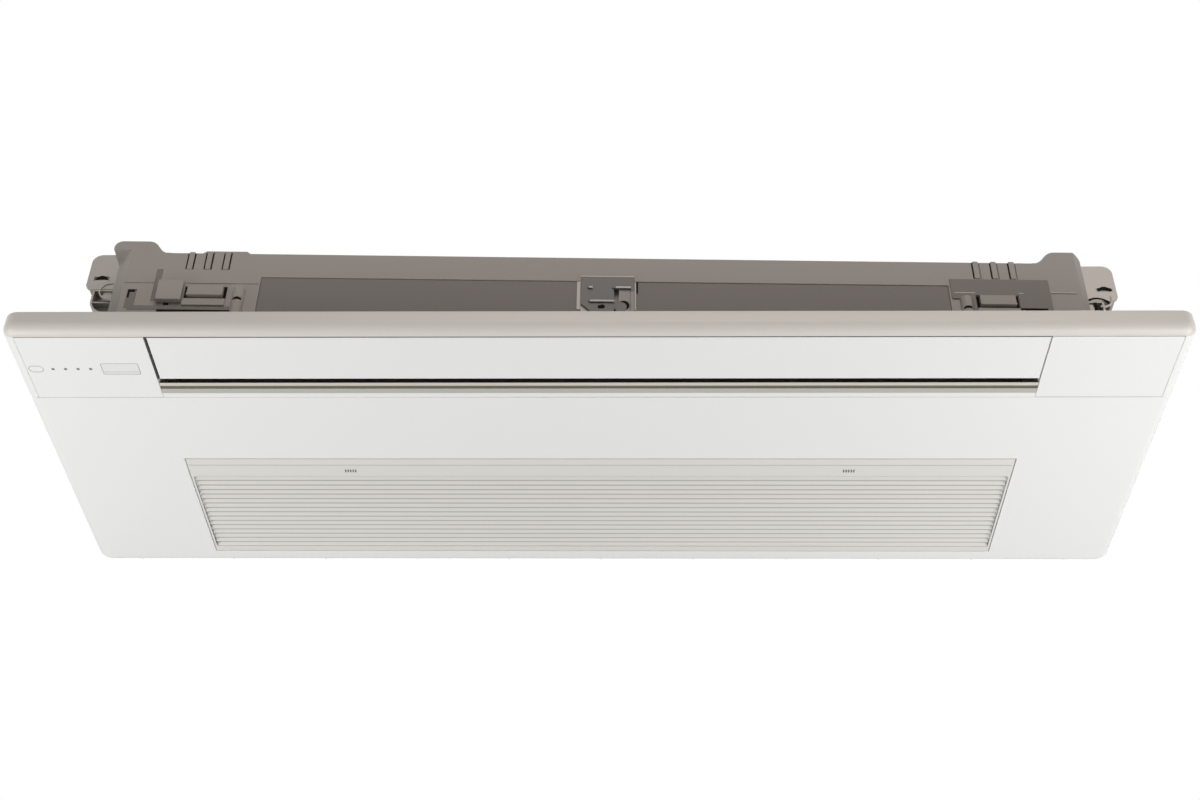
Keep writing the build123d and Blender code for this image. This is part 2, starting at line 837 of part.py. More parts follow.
# ---------------------------------------------------------------- intake grille
def intake_grille():
    left = -grille_half + swing_gap
    near = grille_near + swing_gap
    far = grille_far - swing_gap
    high = over_face(grille_height)
    grille = block(left, -left, near, far, face, high)
    slats_near = grille_near + push_band
    slats_far = grille_far - far_band
    grille -= block(left + grille_rim, -left - grille_rim, near + moulding, far - moulding,
                    over_face(grille_skin), high + bite)
    grille -= block(left + grille_rim, -left - grille_rim, slats_near, slats_far, face - bite, high)
    pitch = (slats_far - slats_near) / slat_count
    reach = -left - grille_rim / 2
    lean = radians(slat_lean)
    along = (slat_depth * cos(lean), slat_depth * sin(lean))
    across = (slat_thickness * sin(lean), slat_thickness * cos(lean))
    for i in range(slat_count):
        y = slats_near + (i + 0.5) * pitch + along[0] / 2
        z = over_face(slat_lift)
        corners = [(y, z), (y - along[0], z + along[1]),
                   (y - along[0] + across[0], z + along[1] + across[1]), (y + across[0], z + across[1])]
        grille += along_x(corners, -reach, reach)
    span = 2 * reach / (cross_rib_count + 1)
    for i in range(1, cross_rib_count + 1):
        x = -reach + i * span
        grille += block(x - cross_rib_wall / 2, x + cross_rib_wall / 2, slats_near - bite,
                        slats_far + bite, over_face(cross_rib_lift), high)
    line = near + band_line
    grille -= block(left - bite, bite - left, line, line + seam_width, face - bite, over_face(seam_depth))
    for side in (-1, 1):
        grille += rod_x(hinge_radius, side * (-left - bite), side * (grille_half + hinge_reach - fit),
                        hinge_y, hinge_z)
        grille += rod_z(plunger_radius, over_face(bite), latch_low - plunger_reach - striker_gap,
                        side * latch_x, latch_y)
        for i in range(mark_count):
            x = side * latch_x + (i - (mark_count - 1) / 2) * mark_step
            grille -= block(x - mark_width / 2, x + mark_width / 2, latch_y - mark_length / 2,
                            latch_y + mark_length / 2, face - bite, over_face(mark_depth))
    return grille


def air_filters():
    low = over_face(grille_height)
    near = grille_near + push_band
    far = hinge_y - filter_hinge_gap
    filters = []
    for side in (-1, 1):
        x = sorted((side * filter_gap, side * filter_half))
        frame = block(*x, near, far, low, low + filter_thickness)
        window = block(x[0] + filter_border, x[1] - filter_border, near + filter_border,
                       far - filter_border, low - bite, low + filter_thickness + bite)
        frame -= window
        mesh = block(x[0] + mesh_inset, x[1] - mesh_inset, near + mesh_inset, far - mesh_inset,
                     low + mesh_lift, low + mesh_lift + mesh_thickness)
        frame += mesh
        span = (x[1] - x[0]) / (filter_bar_count + 1)
        for i in range(1, filter_bar_count + 1):
            bar = x[0] + i * span
            frame += block(bar - filter_bar / 2, bar + filter_bar / 2, near + bite, far - bite, low,
                           low + filter_thickness)
        filters.append(frame)
    return group(filters)


def latch_housings():
    housings = []
    top = latch_low + latch_height
    for side in (-1, 1):
        x = side * latch_x
        body = block(x - latch_width / 2, x + latch_width / 2, grille_near, latch_y + latch_back,
                     latch_low, top)
        floor = latch_low + latch_floor
        body -= rod_z(plunger_flange + flange_gap, floor, top - latch_roof, x, latch_y)
        body -= rod_z(plunger_radius + bearing_gap, latch_low - bite, floor + bite, x, latch_y)
        housings.append(body)
    return group(housings)


def latch_plunger(side):
    x = side * latch_x
    floor = latch_low + latch_floor
    tip = rod_z(plunger_radius, latch_low - plunger_reach, floor + bite, x, latch_y)
    flange = rod_z(plunger_flange, floor, floor + flange_height, x, latch_y)
    return tip + flange


# ---------------------------------------------------------------- fan
def fan_rotor():
    blade_middle = fan_radius - blade_chord / 2
    chord = Rot(0, 0, blade_lean) * Rectangle(blade_chord, blade_thickness)
    blades = [Rot(0, 0, i * 360 / fan_blades) * Pos(blade_middle, 0) * chord for i in range(fan_blades)]
    rim = Circle(fan_radius) - Circle(fan_radius - blade_chord + bite)
    span = 2 * (fan_half - ring_wall) / (fan_rings - 1)
    plane = Plane.YZ
    rotor = None
    for i in range(fan_rings):
        x = -fan_half + i * span
        end = i in (0, fan_rings - 1)
        disc = Circle(fan_radius) if end else rim
        ring = extrude(plane.offset(x) * disc, amount=ring_wall)
        rotor = ring if rotor is None else rotor + ring
    wings = [extrude(plane.offset(-fan_half + ring_wall / 2) * blade, amount=2 * fan_half - ring_wall)
             for blade in blades]
    rotor = rotor + wings
    for side in (-1, 1):
        rotor += rod_x(hub_radius, side * (fan_half - hub_length), side * (fan_half + hub_proud), 0, 0)
    reach = fan_half + hub_proud + bite
    rotor = rotor - rod_x(axle_radius, -reach, reach, 0, 0)
    return Pos(0, fan_y, fan_z) * rotor


def fan_axles():
    inner = fan_half - hub_length
    left = rod_x(axle_radius, -(partition_x + sheet + axle_tail), -inner, fan_y, fan_z)
    right = rod_x(axle_radius, inner, partition_x + sheet + motor_flange + axle_in_motor, fan_y, fan_z)
    return group([left, right])


def fan_bearing():
    seat = -partition_x
    body = rod_x(bearing_radius, seat, seat + bearing_length, fan_y, fan_z)
    neck = rod_x(bearing_neck, seat - sheet - neck_proud, seat + bite, fan_y, fan_z)
    return body + neck - rod_x(axle_radius + bearing_gap, -panel_half, 0, fan_y, fan_z)


def fan_motor():
    seat = partition_x + sheet
    body = rod_x(motor_radius, seat + motor_flange, seat + motor_flange + motor_length, fan_y, fan_z)
    body = fillet(body.edges().sort_by(Axis.X)[-1], motor_round)
    neck = rod_x(motor_neck, seat, seat + motor_flange + bite, fan_y, fan_z)
    feet = block(seat, seat + foot_thickness, fan_y - foot_reach, fan_y + foot_reach,
                 fan_z - foot_half_width, fan_z + foot_half_width)
    feet += block(seat, seat + motor_flange + bite, fan_y - strut_reach, fan_y + strut_reach,
                  fan_z - strut_half_width, fan_z + strut_half_width)
    bore_end = seat + motor_flange + axle_in_motor + 2 * bite
    return body + neck + feet - rod_x(axle_radius + bearing_gap, 0, bore_end, fan_y, fan_z)


# ---------------------------------------------------------------- walls of the air path
def scroll_point(angle, extra):
    """A point of the scroll, seen from the end, with an extra distance outwards."""
    share = (angle - scroll_start) / (scroll_end - scroll_start)
    gap = scroll_gap_start + share * (scroll_gap_end - scroll_gap_start)
    reach = fan_radius + gap + extra
    return (fan_y + reach * cos(radians(angle)), fan_z + reach * sin(radians(angle)))


def scroll_liner():
    turn = (scroll_start - scroll_end) / scroll_steps
    angles = [scroll_end + i * turn for i in range(scroll_steps + 1)]
    inner = [scroll_point(angle, 0) for angle in angles]
    outer = [scroll_point(angle, scroll_wall) for angle in angles]
    bend = over_ceiling(scroll_bend)
    near = duct_near - scroll_wall
    edges = [Polyline((duct_near, base_top), (duct_near, bend), inner[0]), Spline(*inner),
             Line(inner[-1], outer[-1]), Spline(*outer[::-1]),
             Polyline(outer[0], (near, bend), (near, base_top), (duct_near, base_top))]
    outline = make_face(Curve() + edges)
    liner = extrude(Plane.YZ.offset(-partition_x) * outline, amount=2 * partition_x)
    for side in (-1, 1):
        liner -= rod_z(vane_shaft_radius + swing_gap, base_top, roof_under, louver_places(side)[0], louver_y)
    return liner


def stabiliser():
    low = base_top
    reach = fan_radius + tongue_gap
    flared = reach + tongue_flare
    tip = (fan_y + reach * cos(radians(tongue_start)), fan_z + reach * sin(radians(tongue_start)))
    bend = (fan_y + flared * cos(radians(tongue_end)), fan_z + flared * sin(radians(tongue_end)))
    points = [(duct_far, low), (duct_far, over_ceiling(tongue_foot)), tip, bend,
              (pan_near - fit, over_ceiling(pan_shoulder)), (pan_near - fit, low)]
    return along_x(points, -partition_x, partition_x)


def partition_outline(inset):
    """The outline of an inner wall across the casing, drawn in from the casing by an inset."""
    near = casing_near + partition_front + inset
    top = roof_under - partition_roof_gap - inset
    slope = slope_rise / slope_run
    foot = over_ceiling(wall_top - partition_slope_gap) - inset
    return [(near, base_top), (near, foot), (near + (top - foot) / slope, top),
            (casing_far - sheet - inset, top), (casing_far - sheet - inset, base_top)]


def partition(side):
    wall = along_x(partition_outline(0), *sorted((side * partition_x, side * (partition_x + sheet))))
    span = (-panel_half, 0) if side < 0 else (0, panel_half)
    if side < 0:
        wall -= rod_x(bearing_neck + bearing_gap, *span, fan_y, fan_z)
        wall -= pipe_holes(swing_gap)
        wall -= rod_x(drain_radius + fit, *span, (pan_near + pan_far) / 2, over_ceiling(drain_lift))
    else:
        wall -= rod_x(axle_radius + swing_gap, *span, fan_y, fan_z)
    return wall


# ---------------------------------------------------------------- coil and drain
def coil_frame(along, across):
    """A point of the coil's section: along it from the foot, and across it from the fan side."""
    angle = radians(coil_angle)
    return (coil_foot_y + along * cos(angle) + across * sin(angle),
            over_ceiling(coil_foot_lift) + along * sin(angle) - across * cos(angle))


def tube_centres():
    pitch = coil_length / coil_tubes_per_row
    row = coil_thickness / coil_rows
    return [[coil_frame((i + 0.5) * pitch, (j + 0.5) * row) for i in range(coil_tubes_per_row)]
            for j in range(coil_rows)]


def coil_fins():
    corners = [coil_frame(0, 0), coil_frame(coil_length, 0), coil_frame(coil_length, coil_thickness),
               coil_frame(0, coil_thickness)]
    outline = make_face(Polyline(*corners, close=True))
    centres = [centre for row in tube_centres() for centre in row]
    for centre in centres:
        outline -= Pos(*centre) * Circle(coil_tube)
    fin = extrude(Plane.YZ * outline, amount=fin_wall)
    plate = extrude(Plane.YZ * outline, amount=end_fin)
    count = int(2 * coil_half / fin_step)
    fins = [Pos(-coil_half + i * fin_step - fin_wall / 2, 0, 0) * fin for i in range(1, count)]
    ends = [Pos(-coil_half - end_fin, 0, 0) * plate, Pos(coil_half, 0, 0) * plate]
    collars = [extrude(Plane.YZ.offset(-coil_half) * Pos(*centre)
                       * (Circle(coil_tube + fin_collar) - Circle(coil_tube)), amount=2 * coil_half)
               for centre in centres]
    return ends[0] + fins + [ends[1]] + collars


def tube_bend(first, second, x, side):
    """A half turn that joins two tubes at one end of the coil."""
    middle = ((first[0] + second[0]) / 2, (first[1] + second[1]) / 2)
    run = (second[0] - first[0], second[1] - first[1])
    length = sqrt(run[0] ** 2 + run[1] ** 2)
    axis_dir = (0, -run[1] / length * side, run[0] / length * side)
    ring = Plane(origin=(x, *first), z_dir=(1, 0, 0)) * Circle(coil_tube)
    return revolve(ring, Axis((x, *middle), axis_dir), 180)


def coil_tubes():
    reach = coil_half + end_fin + tube_overhang
    tubes = []
    for row in tube_centres():
        for i in range(0, coil_tubes_per_row, 2):
            pair = row[i:i + 2]
            hairpin = rod_x(coil_tube, -reach, reach, *pair[0]) + rod_x(coil_tube, -reach, reach, *pair[1])
            tubes.append(hairpin + tube_bend(*pair, reach, 1))
        for i in range(1, coil_tubes_per_row - 1, 2):
            tubes.append(tube_bend(row[i], row[i + 1], -reach, -1))
    tubes.append(tube_bend(*[row[0] for row in tube_centres()], -reach, -1))
    return group(tubes)


def drain_pan():
    left = -partition_x
    pan = block(left, -left, pan_near, pan_far, base_top, over_ceiling(pan_height))
    pan -= block(left + moulding, -left - moulding, pan_near + moulding, pan_far - moulding,
                 base_top + moulding, over_ceiling(pan_height + bite))
    corner = coil_frame(0, coil_thickness)
    for side in (-1, 0, 1):
        x = side * (coil_half - pan_rib / 2)
        pan += block(x - pan_rib / 2, x + pan_rib / 2, corner[0] - pan_rib, pan_far - bite, base_top + bite,
                     corner[1] - fit)
    return pan - rod_x(drain_bore, left - bite, left + moulding + bite, (pan_near + pan_far) / 2,
                       over_ceiling(drain_lift))


def drain_spigot():
    y = (pan_near + pan_far) / 2
    z = over_ceiling(drain_lift)
    spigot = rod_x(drain_radius, -drain_reach, -partition_x, y, z)
    spigot += rod_x(drain_radius + spigot_collar, -casing_end - collar_width, -casing_end, y, z)
    return spigot - rod_x(drain_bore, -drain_reach - bite, -partition_x + bite, y, z)


# ---------------------------------------------------------------- pipes and electronics
def pipe_runs():
    """Each pipe's reach, place (y, z), radius and thread radius: it leaves the last tube of a row."""
    gas_row, liquid_row = tube_centres()
    return [(gas_reach, gas_row[-1], gas_pipe, gas_thread),
            (liquid_reach, liquid_row[-1], liquid_pipe, liquid_thread)]


def pipe_holes(radius_gap):
    """What the pipes take out of the walls that they pass."""
    gas, liquid = [rod_x(radius + radius_gap, -panel_half, 0, *place)
                   for _, place, radius, _ in pipe_runs()]
    return gas + liquid


def refrigerant_pipes():
    start = -coil_half - end_fin - tube_overhang
    pipes = []
    for reach, place, radius, thread in pipe_runs():
        pipe = rod_x(radius, -reach, start, *place) + rod_x(thread, -reach, -reach + union_length, *place)
        pipes.append(pipe - rod_x(radius - pipe_wall, -reach - bite, start - pipe_plug, *place))
    return group(pipes)


def flare_nuts():
    nuts = []
    for reach, place, radius, thread in pipe_runs():
        hexagon = Pos(-reach + union_length, *place) * (Plane.YZ * RegularPolygon(thread + nut_wall, 6))
        nut = extrude(hexagon, amount=nut_length, dir=(1, 0, 0))
        nuts.append(nut - rod_x(radius + nut_bore_gap, -panel_half, 0, *place))
    return group(nuts)


def control_box():
    outer = casing_end - sheet - fit
    low = over_ceiling(box_low)
    high = over_ceiling(box_high)
    box = block(box_x, outer, box_near, box_far, low, high)
    box -= block(box_x + box_wall, outer - box_wall, box_near + box_wall, box_far - box_wall, low - bite,
                 high - box_wall)
    box += block(partition_x + sheet, box_x + box_wall / 2, box_near + hook_inset, box_far - hook_inset,
                 high - hook_low, high - hook_high)
    return box - rod_x(gland_bore + swing_gap, outer - box_wall - bite, outer + bite, gland_y,
                       over_ceiling(gland_lift))


def control_lid():
    outer = casing_end - sheet - fit
    low = over_ceiling(box_low)
    lid = block(box_x, outer, box_near, box_far, low - box_wall, low)
    lip = box_wall + fit
    lid += block(box_x + lip, outer - lip, box_near + lip, box_far - lip, low, low + lid_lip)
    inner = lip + box_wall
    lid -= block(box_x + inner, outer - inner, box_near + inner, box_far - inner, low,
                 low + lid_lip + bite)
    return lid + block(box_x + lid_foot_inset, outer - lid_foot_inset, box_near + lid_foot_inset,
                       box_far - lid_foot_inset, base_top, low - box_wall)


def circuit_board():
    x = box_x + box_wall + board_standoff
    front = x + board_thickness
    low = over_ceiling(box_low + board_foot)
    high = over_ceiling(box_high) - box_wall
    board = block(x, front, box_near + board_margin, box_far - board_margin, low, high)
    stop = high - board_margin
    for near in (box_near + standoff_inset, box_far - standoff_inset - standoff_size):
        board += block(x - board_standoff, x, near, near + standoff_size, stop - standoff_size, stop)
    relay = box_near + relay_inset
    board += block(front - bite, x + relay_proud, relay, relay + relay_length, low + relay_lift,
                   low + relay_lift + relay_height)
    for i in range(capacitor_count):
        board += rod_x(capacitor_radius, x + bite, x + capacitor_proud,
                       box_near + capacitor_first + i * capacitor_step, low + capacitor_lift)
    return board


def cable_gland():
    z = over_ceiling(gland_lift)
    gland = rod_x(gland_radius, casing_end, casing_end + gland_length, gland_y, z)
    nut = Pos(casing_end, gland_y, z) * (Plane.YZ * RegularPolygon(gland_radius + gland_nut_wall, 6))
    gland += extrude(nut, amount=gland_nut_length, dir=(1, 0, 0))
    gland += rod_x(gland_bore + gland_tube_wall, casing_end - sheet, casing_end + bite, gland_y, z)
    return gland - rod_x(gland_bore, 0, panel_half, gland_y, z)


# ---------------------------------------------------------------- louvers
def louver_places(side):
    """Where a set of louvers stands along the unit, the driven one at the outer end first."""
    outer = louver_first + (louver_count - 1) * louver_step
    return [side * (outer - i * louver_step) for i in range(louver_count)]


def louver(x, driven):
    half = louver_depth / 2
    low = over_ceiling(louver_low)
    blade = block(x - louver_thickness / 2, x + louver_thickness / 2, louver_y - half, louver_y + half,
                  low, over_ceiling(louver_high))
    blade = fillet(blade.edges().filter_by(Axis.X), louver_round)
    foot_low = over_ceiling(rail_high) + fit
    blade += rod_z(louver_foot, foot_low, low + foot_bite, x, louver_y)
    blade += rod_z(louver_pin, over_ceiling(rail_low) - louver_pin_proud, low + bite, x, louver_y)
    crank = block(x - crank_pin - crank_wall, x + crank_pin + crank_wall, louver_y + crank_start,
                  louver_y + crank_reach + bite, foot_low, low + bite)
    crank_head = rod_z(crank_pin + crank_end_wall, over_ceiling(link_high) + fit, low + bite, x,
                       louver_y + crank_reach)
    blade = blade + crank + crank_head
    blade += rod_z(crank_pin, over_ceiling(link_low) - bite, low, x, louver_y + crank_reach)
    if driven:
        top = over_ceiling(louver_high)
        blade += rod_z(vane_shaft_radius, top - stepper_shaft_bite,
                       over_ceiling(stepper_lift + stepper_shaft_reach), x, louver_y)
        blade += rod_z(vane_shaft_radius + socket_wall, top - socket_bite, top + socket_reach, x, louver_y)
    return blade


def louver_rail():
    rail = block(-partition_x, partition_x, louver_y - rail_half_depth, louver_y + rail_half_depth,
                 over_ceiling(rail_low), over_ceiling(rail_high))
    for side in (-1, 1):
        for x in louver_places(side):
            rail -= rod_z(louver_pin + bearing_gap, face, over_ceiling(rail_high + bite), x, louver_y)
    return rail


def link_bar(side):
    places = louver_places(side)
    y = louver_y + crank_reach
    end = link_width / 2
    bar = block(min(places) - end, max(places) + end, y - end, y + end, over_ceiling(link_low),
                over_ceiling(link_high))
    for x in places:
        bar -= rod_z(crank_pin + bearing_gap, over_ceiling(link_low - bite),
                     over_ceiling(link_high + bite), x, y)
    return bar


def louver_motors():
    motors = []
    low = over_ceiling(stepper_lift)
    for side in (-1, 1):
        x = louver_places(side)[0]
        motor = rod_z(stepper_radius, low, low + stepper_height, x, louver_y)
        ears = block(x - ear_reach, x + ear_reach, louver_y - ear_half_width, louver_y + stepper_radius,
                     low, low + ear_thickness)
        bore = rod_z(vane_shaft_radius + bearing_gap, low - bite, low + stepper_shaft_reach + bite, x,
                     louver_y)
        motors.append(motor + ears - bore)
    return group(motors)


# ---------------------------------------------------------------- front moulding
def elevation(end, inset):
    """Half of the front elevation: wall, sloping shoulder and tower, drawn in by an inset."""
    low = casing_base - (bite if inset else 0)
    wall = over_ceiling(wall_top) - inset
    top = over_ceiling(tower_top) - inset
    outer = tower_outer - inset
    radius = tower_round - inset
    start = tower_inners[end] + inset
    flat = tower_flats[end] + inset
    bend = (outer - radius * (1 - cos(pi / 4)), 0, top - radius * (1 - sin(pi / 4)))
    edges = [Polyline((outer, 0, top - radius), (outer, 0, low), (0, 0, low), (0, 0, wall),
                      (start, 0, wall)),
             Spline((start, 0, wall), (flat, 0, top), tangents=[(1, 0, 0), (1, 0, 0)]),
             Line((flat, 0, top), (outer - radius, 0, top)),
             ThreePointArc((outer - radius, 0, top), bend, (outer, 0, top - radius))]
    return make_face(Curve() + edges)


def corner_cut(end, inset):
    """What the slanting corner takes off a tower."""
    cut_x, cut_y = corner_cuts[end]
    length = sqrt(cut_x ** 2 + cut_y ** 2)
    x = tower_outer - inset * cut_y / length
    y = casing_near + inset * cut_x / length
    far = 3.0
    start = (x - cut_x - far * cut_x, y - far * cut_y)
    end_point = (x + far * cut_x, y + cut_y + far * cut_y)
    return along_z([start, end_point, (end_point[0], start[1])], casing_base - 2 * bite,
                   over_ceiling(corner_cut_tops[end]) + inset)


def moulding_half(end):
    """The shell's half with the left tower, 0, or the right one, 1."""
    near = casing_near
    outer = along_y(elevation(end, 0), near, near + tower_depth) - corner_cut(end, 0)
    inner = along_y(elevation(end, moulding), near + moulding, near + tower_depth + bite)
    half = outer - (inner - corner_cut(end, moulding))
    return half if end else half.mirror(Plane.YZ)


def moulding_shell():
    near = casing_near
    shell = moulding_half(0) + moulding_half(1)
    shell -= block(moulding - tower_inners[0], tower_inners[1] - moulding, near + moulding,
                   near + tower_depth + bite, over_ceiling(wall_top) - 2 * moulding, casing_top)
    wall = over_ceiling(wall_top)
    peak = wall + slope_rise
    back = near + slope_run
    drop = moulding * sqrt(slope_run ** 2 + slope_rise ** 2) / slope_run
    end = casing_end - sheet - fit - slope_room * sin(radians(casing_yaw))
    slope = along_x([(near, wall), (back, peak), (back + shelf, peak), (back + shelf, peak - drop),
                     (back, peak - drop), (near, wall - drop)], -end, end)
    lid = near + (tower_top - wall_top) * slope_run / slope_rise
    for side, inner in zip((-1, 1), tower_inners):
        slope -= block(side * (inner + moulding), side * panel_half, near - bite, lid, wall - shoulder_cut,
                       over_ceiling(tower_top) - moulding)
    lip = make_face(Polyline((raised_start, 0, wall - bite), (raised_end, 0, wall - bite),
                             (raised_end - raised_slant, 0, wall + raised_height),
                             (raised_start + raised_slant, 0, wall + raised_height), close=True))
    return shell + slope + along_y(lip, near, near + moulding)


def front_moulding():
    near = casing_near
    body = moulding_shell()
    body += block(recess_left - moulding, recess_right + moulding, near, near + recess_depth + moulding,
                  casing_base, over_ceiling(recess_top + moulding))
    body -= block(recess_left, recess_right, near - bite, near + recess_depth, casing_base - bite,
                  over_ceiling(recess_top))
    for rib in rib_places:
        for i in (-1, 0, 1):
            x = rib + i * rib_pitch
            foot = over_ceiling(wall_top - rib_height)
            body += block(x - rib_width / 2, x + rib_width / 2, near - rib_proud, near + bite, foot,
                          over_ceiling(wall_top + rib_rise))
            for edge in (x - rib_width / 2 - rib_groove_width, x + rib_width / 2):
                body -= block(edge, edge + rib_groove_width, near - bite, near + rib_groove_depth, foot,
                              over_ceiling(wall_top + bite))
    reach = clip_width / 2 + clip_slot
    for clip in clip_places:
        body += block(clip - reach, clip + reach, near - ledge_proud, near + bite,
                      over_ceiling(ledge_low), over_ceiling(clip_low - clip_gap_low))
        body -= block(clip - reach, clip + reach, near - bite, near + moulding + bite,
                      over_ceiling(clip_low - clip_gap_low), over_ceiling(clip_high + clip_gap_high))
    middle = near - boss_out
    for boss in boss_places:
        body += rod_z(boss_radius, casing_base, over_ceiling(boss_top), boss, middle)
        body -= block(boss - boss_hole_width / 2, boss + boss_hole_width / 2, middle - boss_radius - bite,
                      near - boss_hole_floor, over_ceiling(boss_step),
                      over_ceiling(boss_step + boss_hole_height))
    seam = over_ceiling(seam_height)
    for x0, x1 in ((left_seam[0] - casing_end, left_seam[1] - casing_end),
                   (casing_end - right_seam[0], casing_end - right_seam[1])):
        body -= block(x0, x1, near - bite, near + seam_cut, seam - seam_half, seam + seam_half)
    body -= block(box_left - slot_width, box_left, near - bite, near + slot_cut_depth,
                  over_ceiling(slot_bottom), over_ceiling(slot_top))
    body += block(box_left, box_right, near - box_proud, near + bite, over_ceiling(box_bottom),
                  seam - seam_half)
    body -= block(notch_left, notch_right, near - bite, near + notch_depth, over_ceiling(notch_bottom),
                  over_ceiling(notch_top))
    return yawed(body)


def front_insulation():
    near = casing_near
    floor = near + recess_depth - glue_line
    bracket = (bracket_x - bracket_width / 2, bracket_x + bracket_width / 2)
    low = casing_base
    top = over_ceiling(recess_top) - fit
    strips = [block(recess_left + fit, bracket[0] - fit, floor - foam_thickness, floor, low, top),
              block(bracket[1] + fit, recess_right - fit, floor - foam_thickness, floor, low, top)]
    patch = block(patch_left, patch_right, near - patch_thickness, near - glue_line,
                  over_ceiling(patch_low), over_ceiling(patch_top))
    reach = clip_width / 2 + clip_slot + fit
    depth = (near - patch_thickness - bite, near + bite)
    patch -= block(clip_places[1] - reach, clip_places[1] + reach, *depth, over_ceiling(ledge_low) - bite,
                   over_ceiling(clip_high + clip_gap_high))
    patch -= block(patch_left - bite, boss_places[1] + boss_radius + fit, *depth,
                   over_ceiling(patch_low) - bite, over_ceiling(boss_top) + fit)
    return yawed(group(strips + [patch]))


def panel_catches():
    near = casing_near
    catches = []
    half = clip_width / 2
    for x in clip_places:
        inside = near + moulding
        tongue = block(x - half, x + half, near - clip_proud, inside + catch_back, over_ceiling(clip_low),
                       over_ceiling(clip_high))
        grip = block(x - half, x + half, near - clip_proud - grip_proud, near - clip_proud + bite,
                     over_ceiling(clip_low), over_ceiling(clip_low + grip_height))
        wide = half + clip_slot + catch_margin
        back = block(x - wide, x + wide, inside, inside + catch_back, over_ceiling(clip_low - catch_foot),
                     over_ceiling(clip_high + catch_head))
        catches.append(tongue + grip + back)
    return yawed(group(catches))


def centre_bracket():
    near = casing_near
    left = bracket_x - bracket_width / 2
    right = bracket_x + bracket_width / 2
    top = over_ceiling(bracket_top)
    low = casing_base
    bevel = left + bracket_bevel
    plate = make_face(Polyline((left, 0, top), (right, 0, top), (right, 0, low), (bevel, 0, low),
                               (bevel, 0, over_ceiling(bevel_low)), (left, 0, over_ceiling(bevel_high)),
                               close=True))
    bracket = along_y(plate, near - bracket_wall, near)
    for x in (left, right - bracket_border):
        bracket += block(x, x + bracket_border, near - bite, near + recess_depth,
                         over_ceiling(bevel_high), over_ceiling(recess_top) - fit)
    notch = (right - bracket_notch_inset - bracket_notch, right - bracket_notch_inset)
    bracket -= block(*notch, near - bracket_wall - bite, near + recess_depth, low - bite,
                     over_ceiling(bracket_ledge_high))
    proud = near - bracket_wall - bracket_ledge_proud
    for x0, x1, z in ((notch[0] - bracket_ledge, notch[1], bracket_ledge_high),
                      (left + stub_start, left + stub_start + stub_length, bracket_ledge_high),
                      (left + ledge_start, left + ledge_start + ledge_length, bracket_ledge_low)):
        bracket += block(x0, x1, proud, near, over_ceiling(z), over_ceiling(z + bracket_ledge))
    return yawed(bracket - rod_y(bracket_hole, near - bracket_wall - bite, near + bite,
                                 left + bracket_hole_x, over_ceiling(bracket_hole_z)))


# ---------------------------------------------------------------- casing
def casing_plate():
    """The bottom of the casing, with its openings for the intake and the outlet."""
    end = casing_end - sheet - fit
    step = casing_near + tower_depth + plate_step
    plate = block(-end, end, step, casing_far - sheet, casing_base, base_top)
    plate += block(plate_corner - end, end - plate_corner, casing_near + plate_front, step, casing_base,
                   base_top)
    through = (casing_base - bite, base_top + bite)
    plate -= block(-intake_opening_half, intake_opening_half, intake_opening_near, intake_opening_far,
                   *through)
    plate -= block(-partition_x, partition_x, duct_near, duct_far, *through)
    for side in (-1, 1):
        for x, y in ((strip_screw_x, strip_screw_y), (tab_screw_x, tab_screw_y)):
            plate -= rod_z(screw_radius + screw_hole_gap, *through, side * x, y)
    return plate


def end_plate(side):
    x = sorted((side * (casing_end - sheet), side * casing_end))
    front = casing_near + tower_depth + fit + yaw_shift(side * casing_end)
    slope = slope_rise / slope_run
    nose = over_ceiling(wall_top) + (front - casing_near - yaw_shift(side * casing_end)) * slope
    peak = front + (roof_under - nose) / slope
    plate = along_x([(front, casing_base), (front, nose), (peak, roof_under), (casing_far, roof_under),
                     (casing_far, casing_base)], *x)
    plate += block(side * (casing_end - end_flange), side * casing_end, peak + shelf + end_flange_gap,
                   casing_far - rear_flange - swing_gap, roof_under - sheet, roof_under)
    for y in top_screw_places():
        plate -= rod_z(screw_radius + screw_hole_gap, roof_under - sheet - bite, roof_under + bite,
                       side * (casing_end - top_screw_inset), y)
    span = (-panel_half, 0) if side < 0 else (0, panel_half)
    if side < 0:
        plate -= pipe_holes(swing_gap)
        plate -= rod_x(drain_radius + fit, *span, (pan_near + pan_far) / 2, over_ceiling(drain_lift))
    else:
        plate -= rod_x(gland_bore + gland_tube_wall + fit, *span, gland_y, over_ceiling(gland_lift))
    return plate


def rear_plate():
    end = casing_end - sheet - fit
    plate = block(-end, end, casing_far - sheet, casing_far, casing_base, roof_under)
    return plate + block(-end, end, casing_far - rear_flange, casing_far, roof_under - sheet, roof_under)


def top_screw_places():
    """Where the screws along each end of the top plate stand."""
    return [top_screw_first + i * top_screw_step for i in range(top_screw_count)]


def top_plate():
    front = casing_near + slope_run - roof_lap
    end = casing_end
    plate = along_z([(-end, front + yaw_shift(-end)), (end, front + yaw_shift(end)), (end, casing_far),
                     (-end, casing_far)], roof_under, casing_top)
    for side in (-1, 1):
        for y in top_screw_places():
            plate -= rod_z(screw_radius + screw_hole_gap, roof_under - bite, casing_top + bite,
                           side * (end - top_screw_inset), y)
    return plate


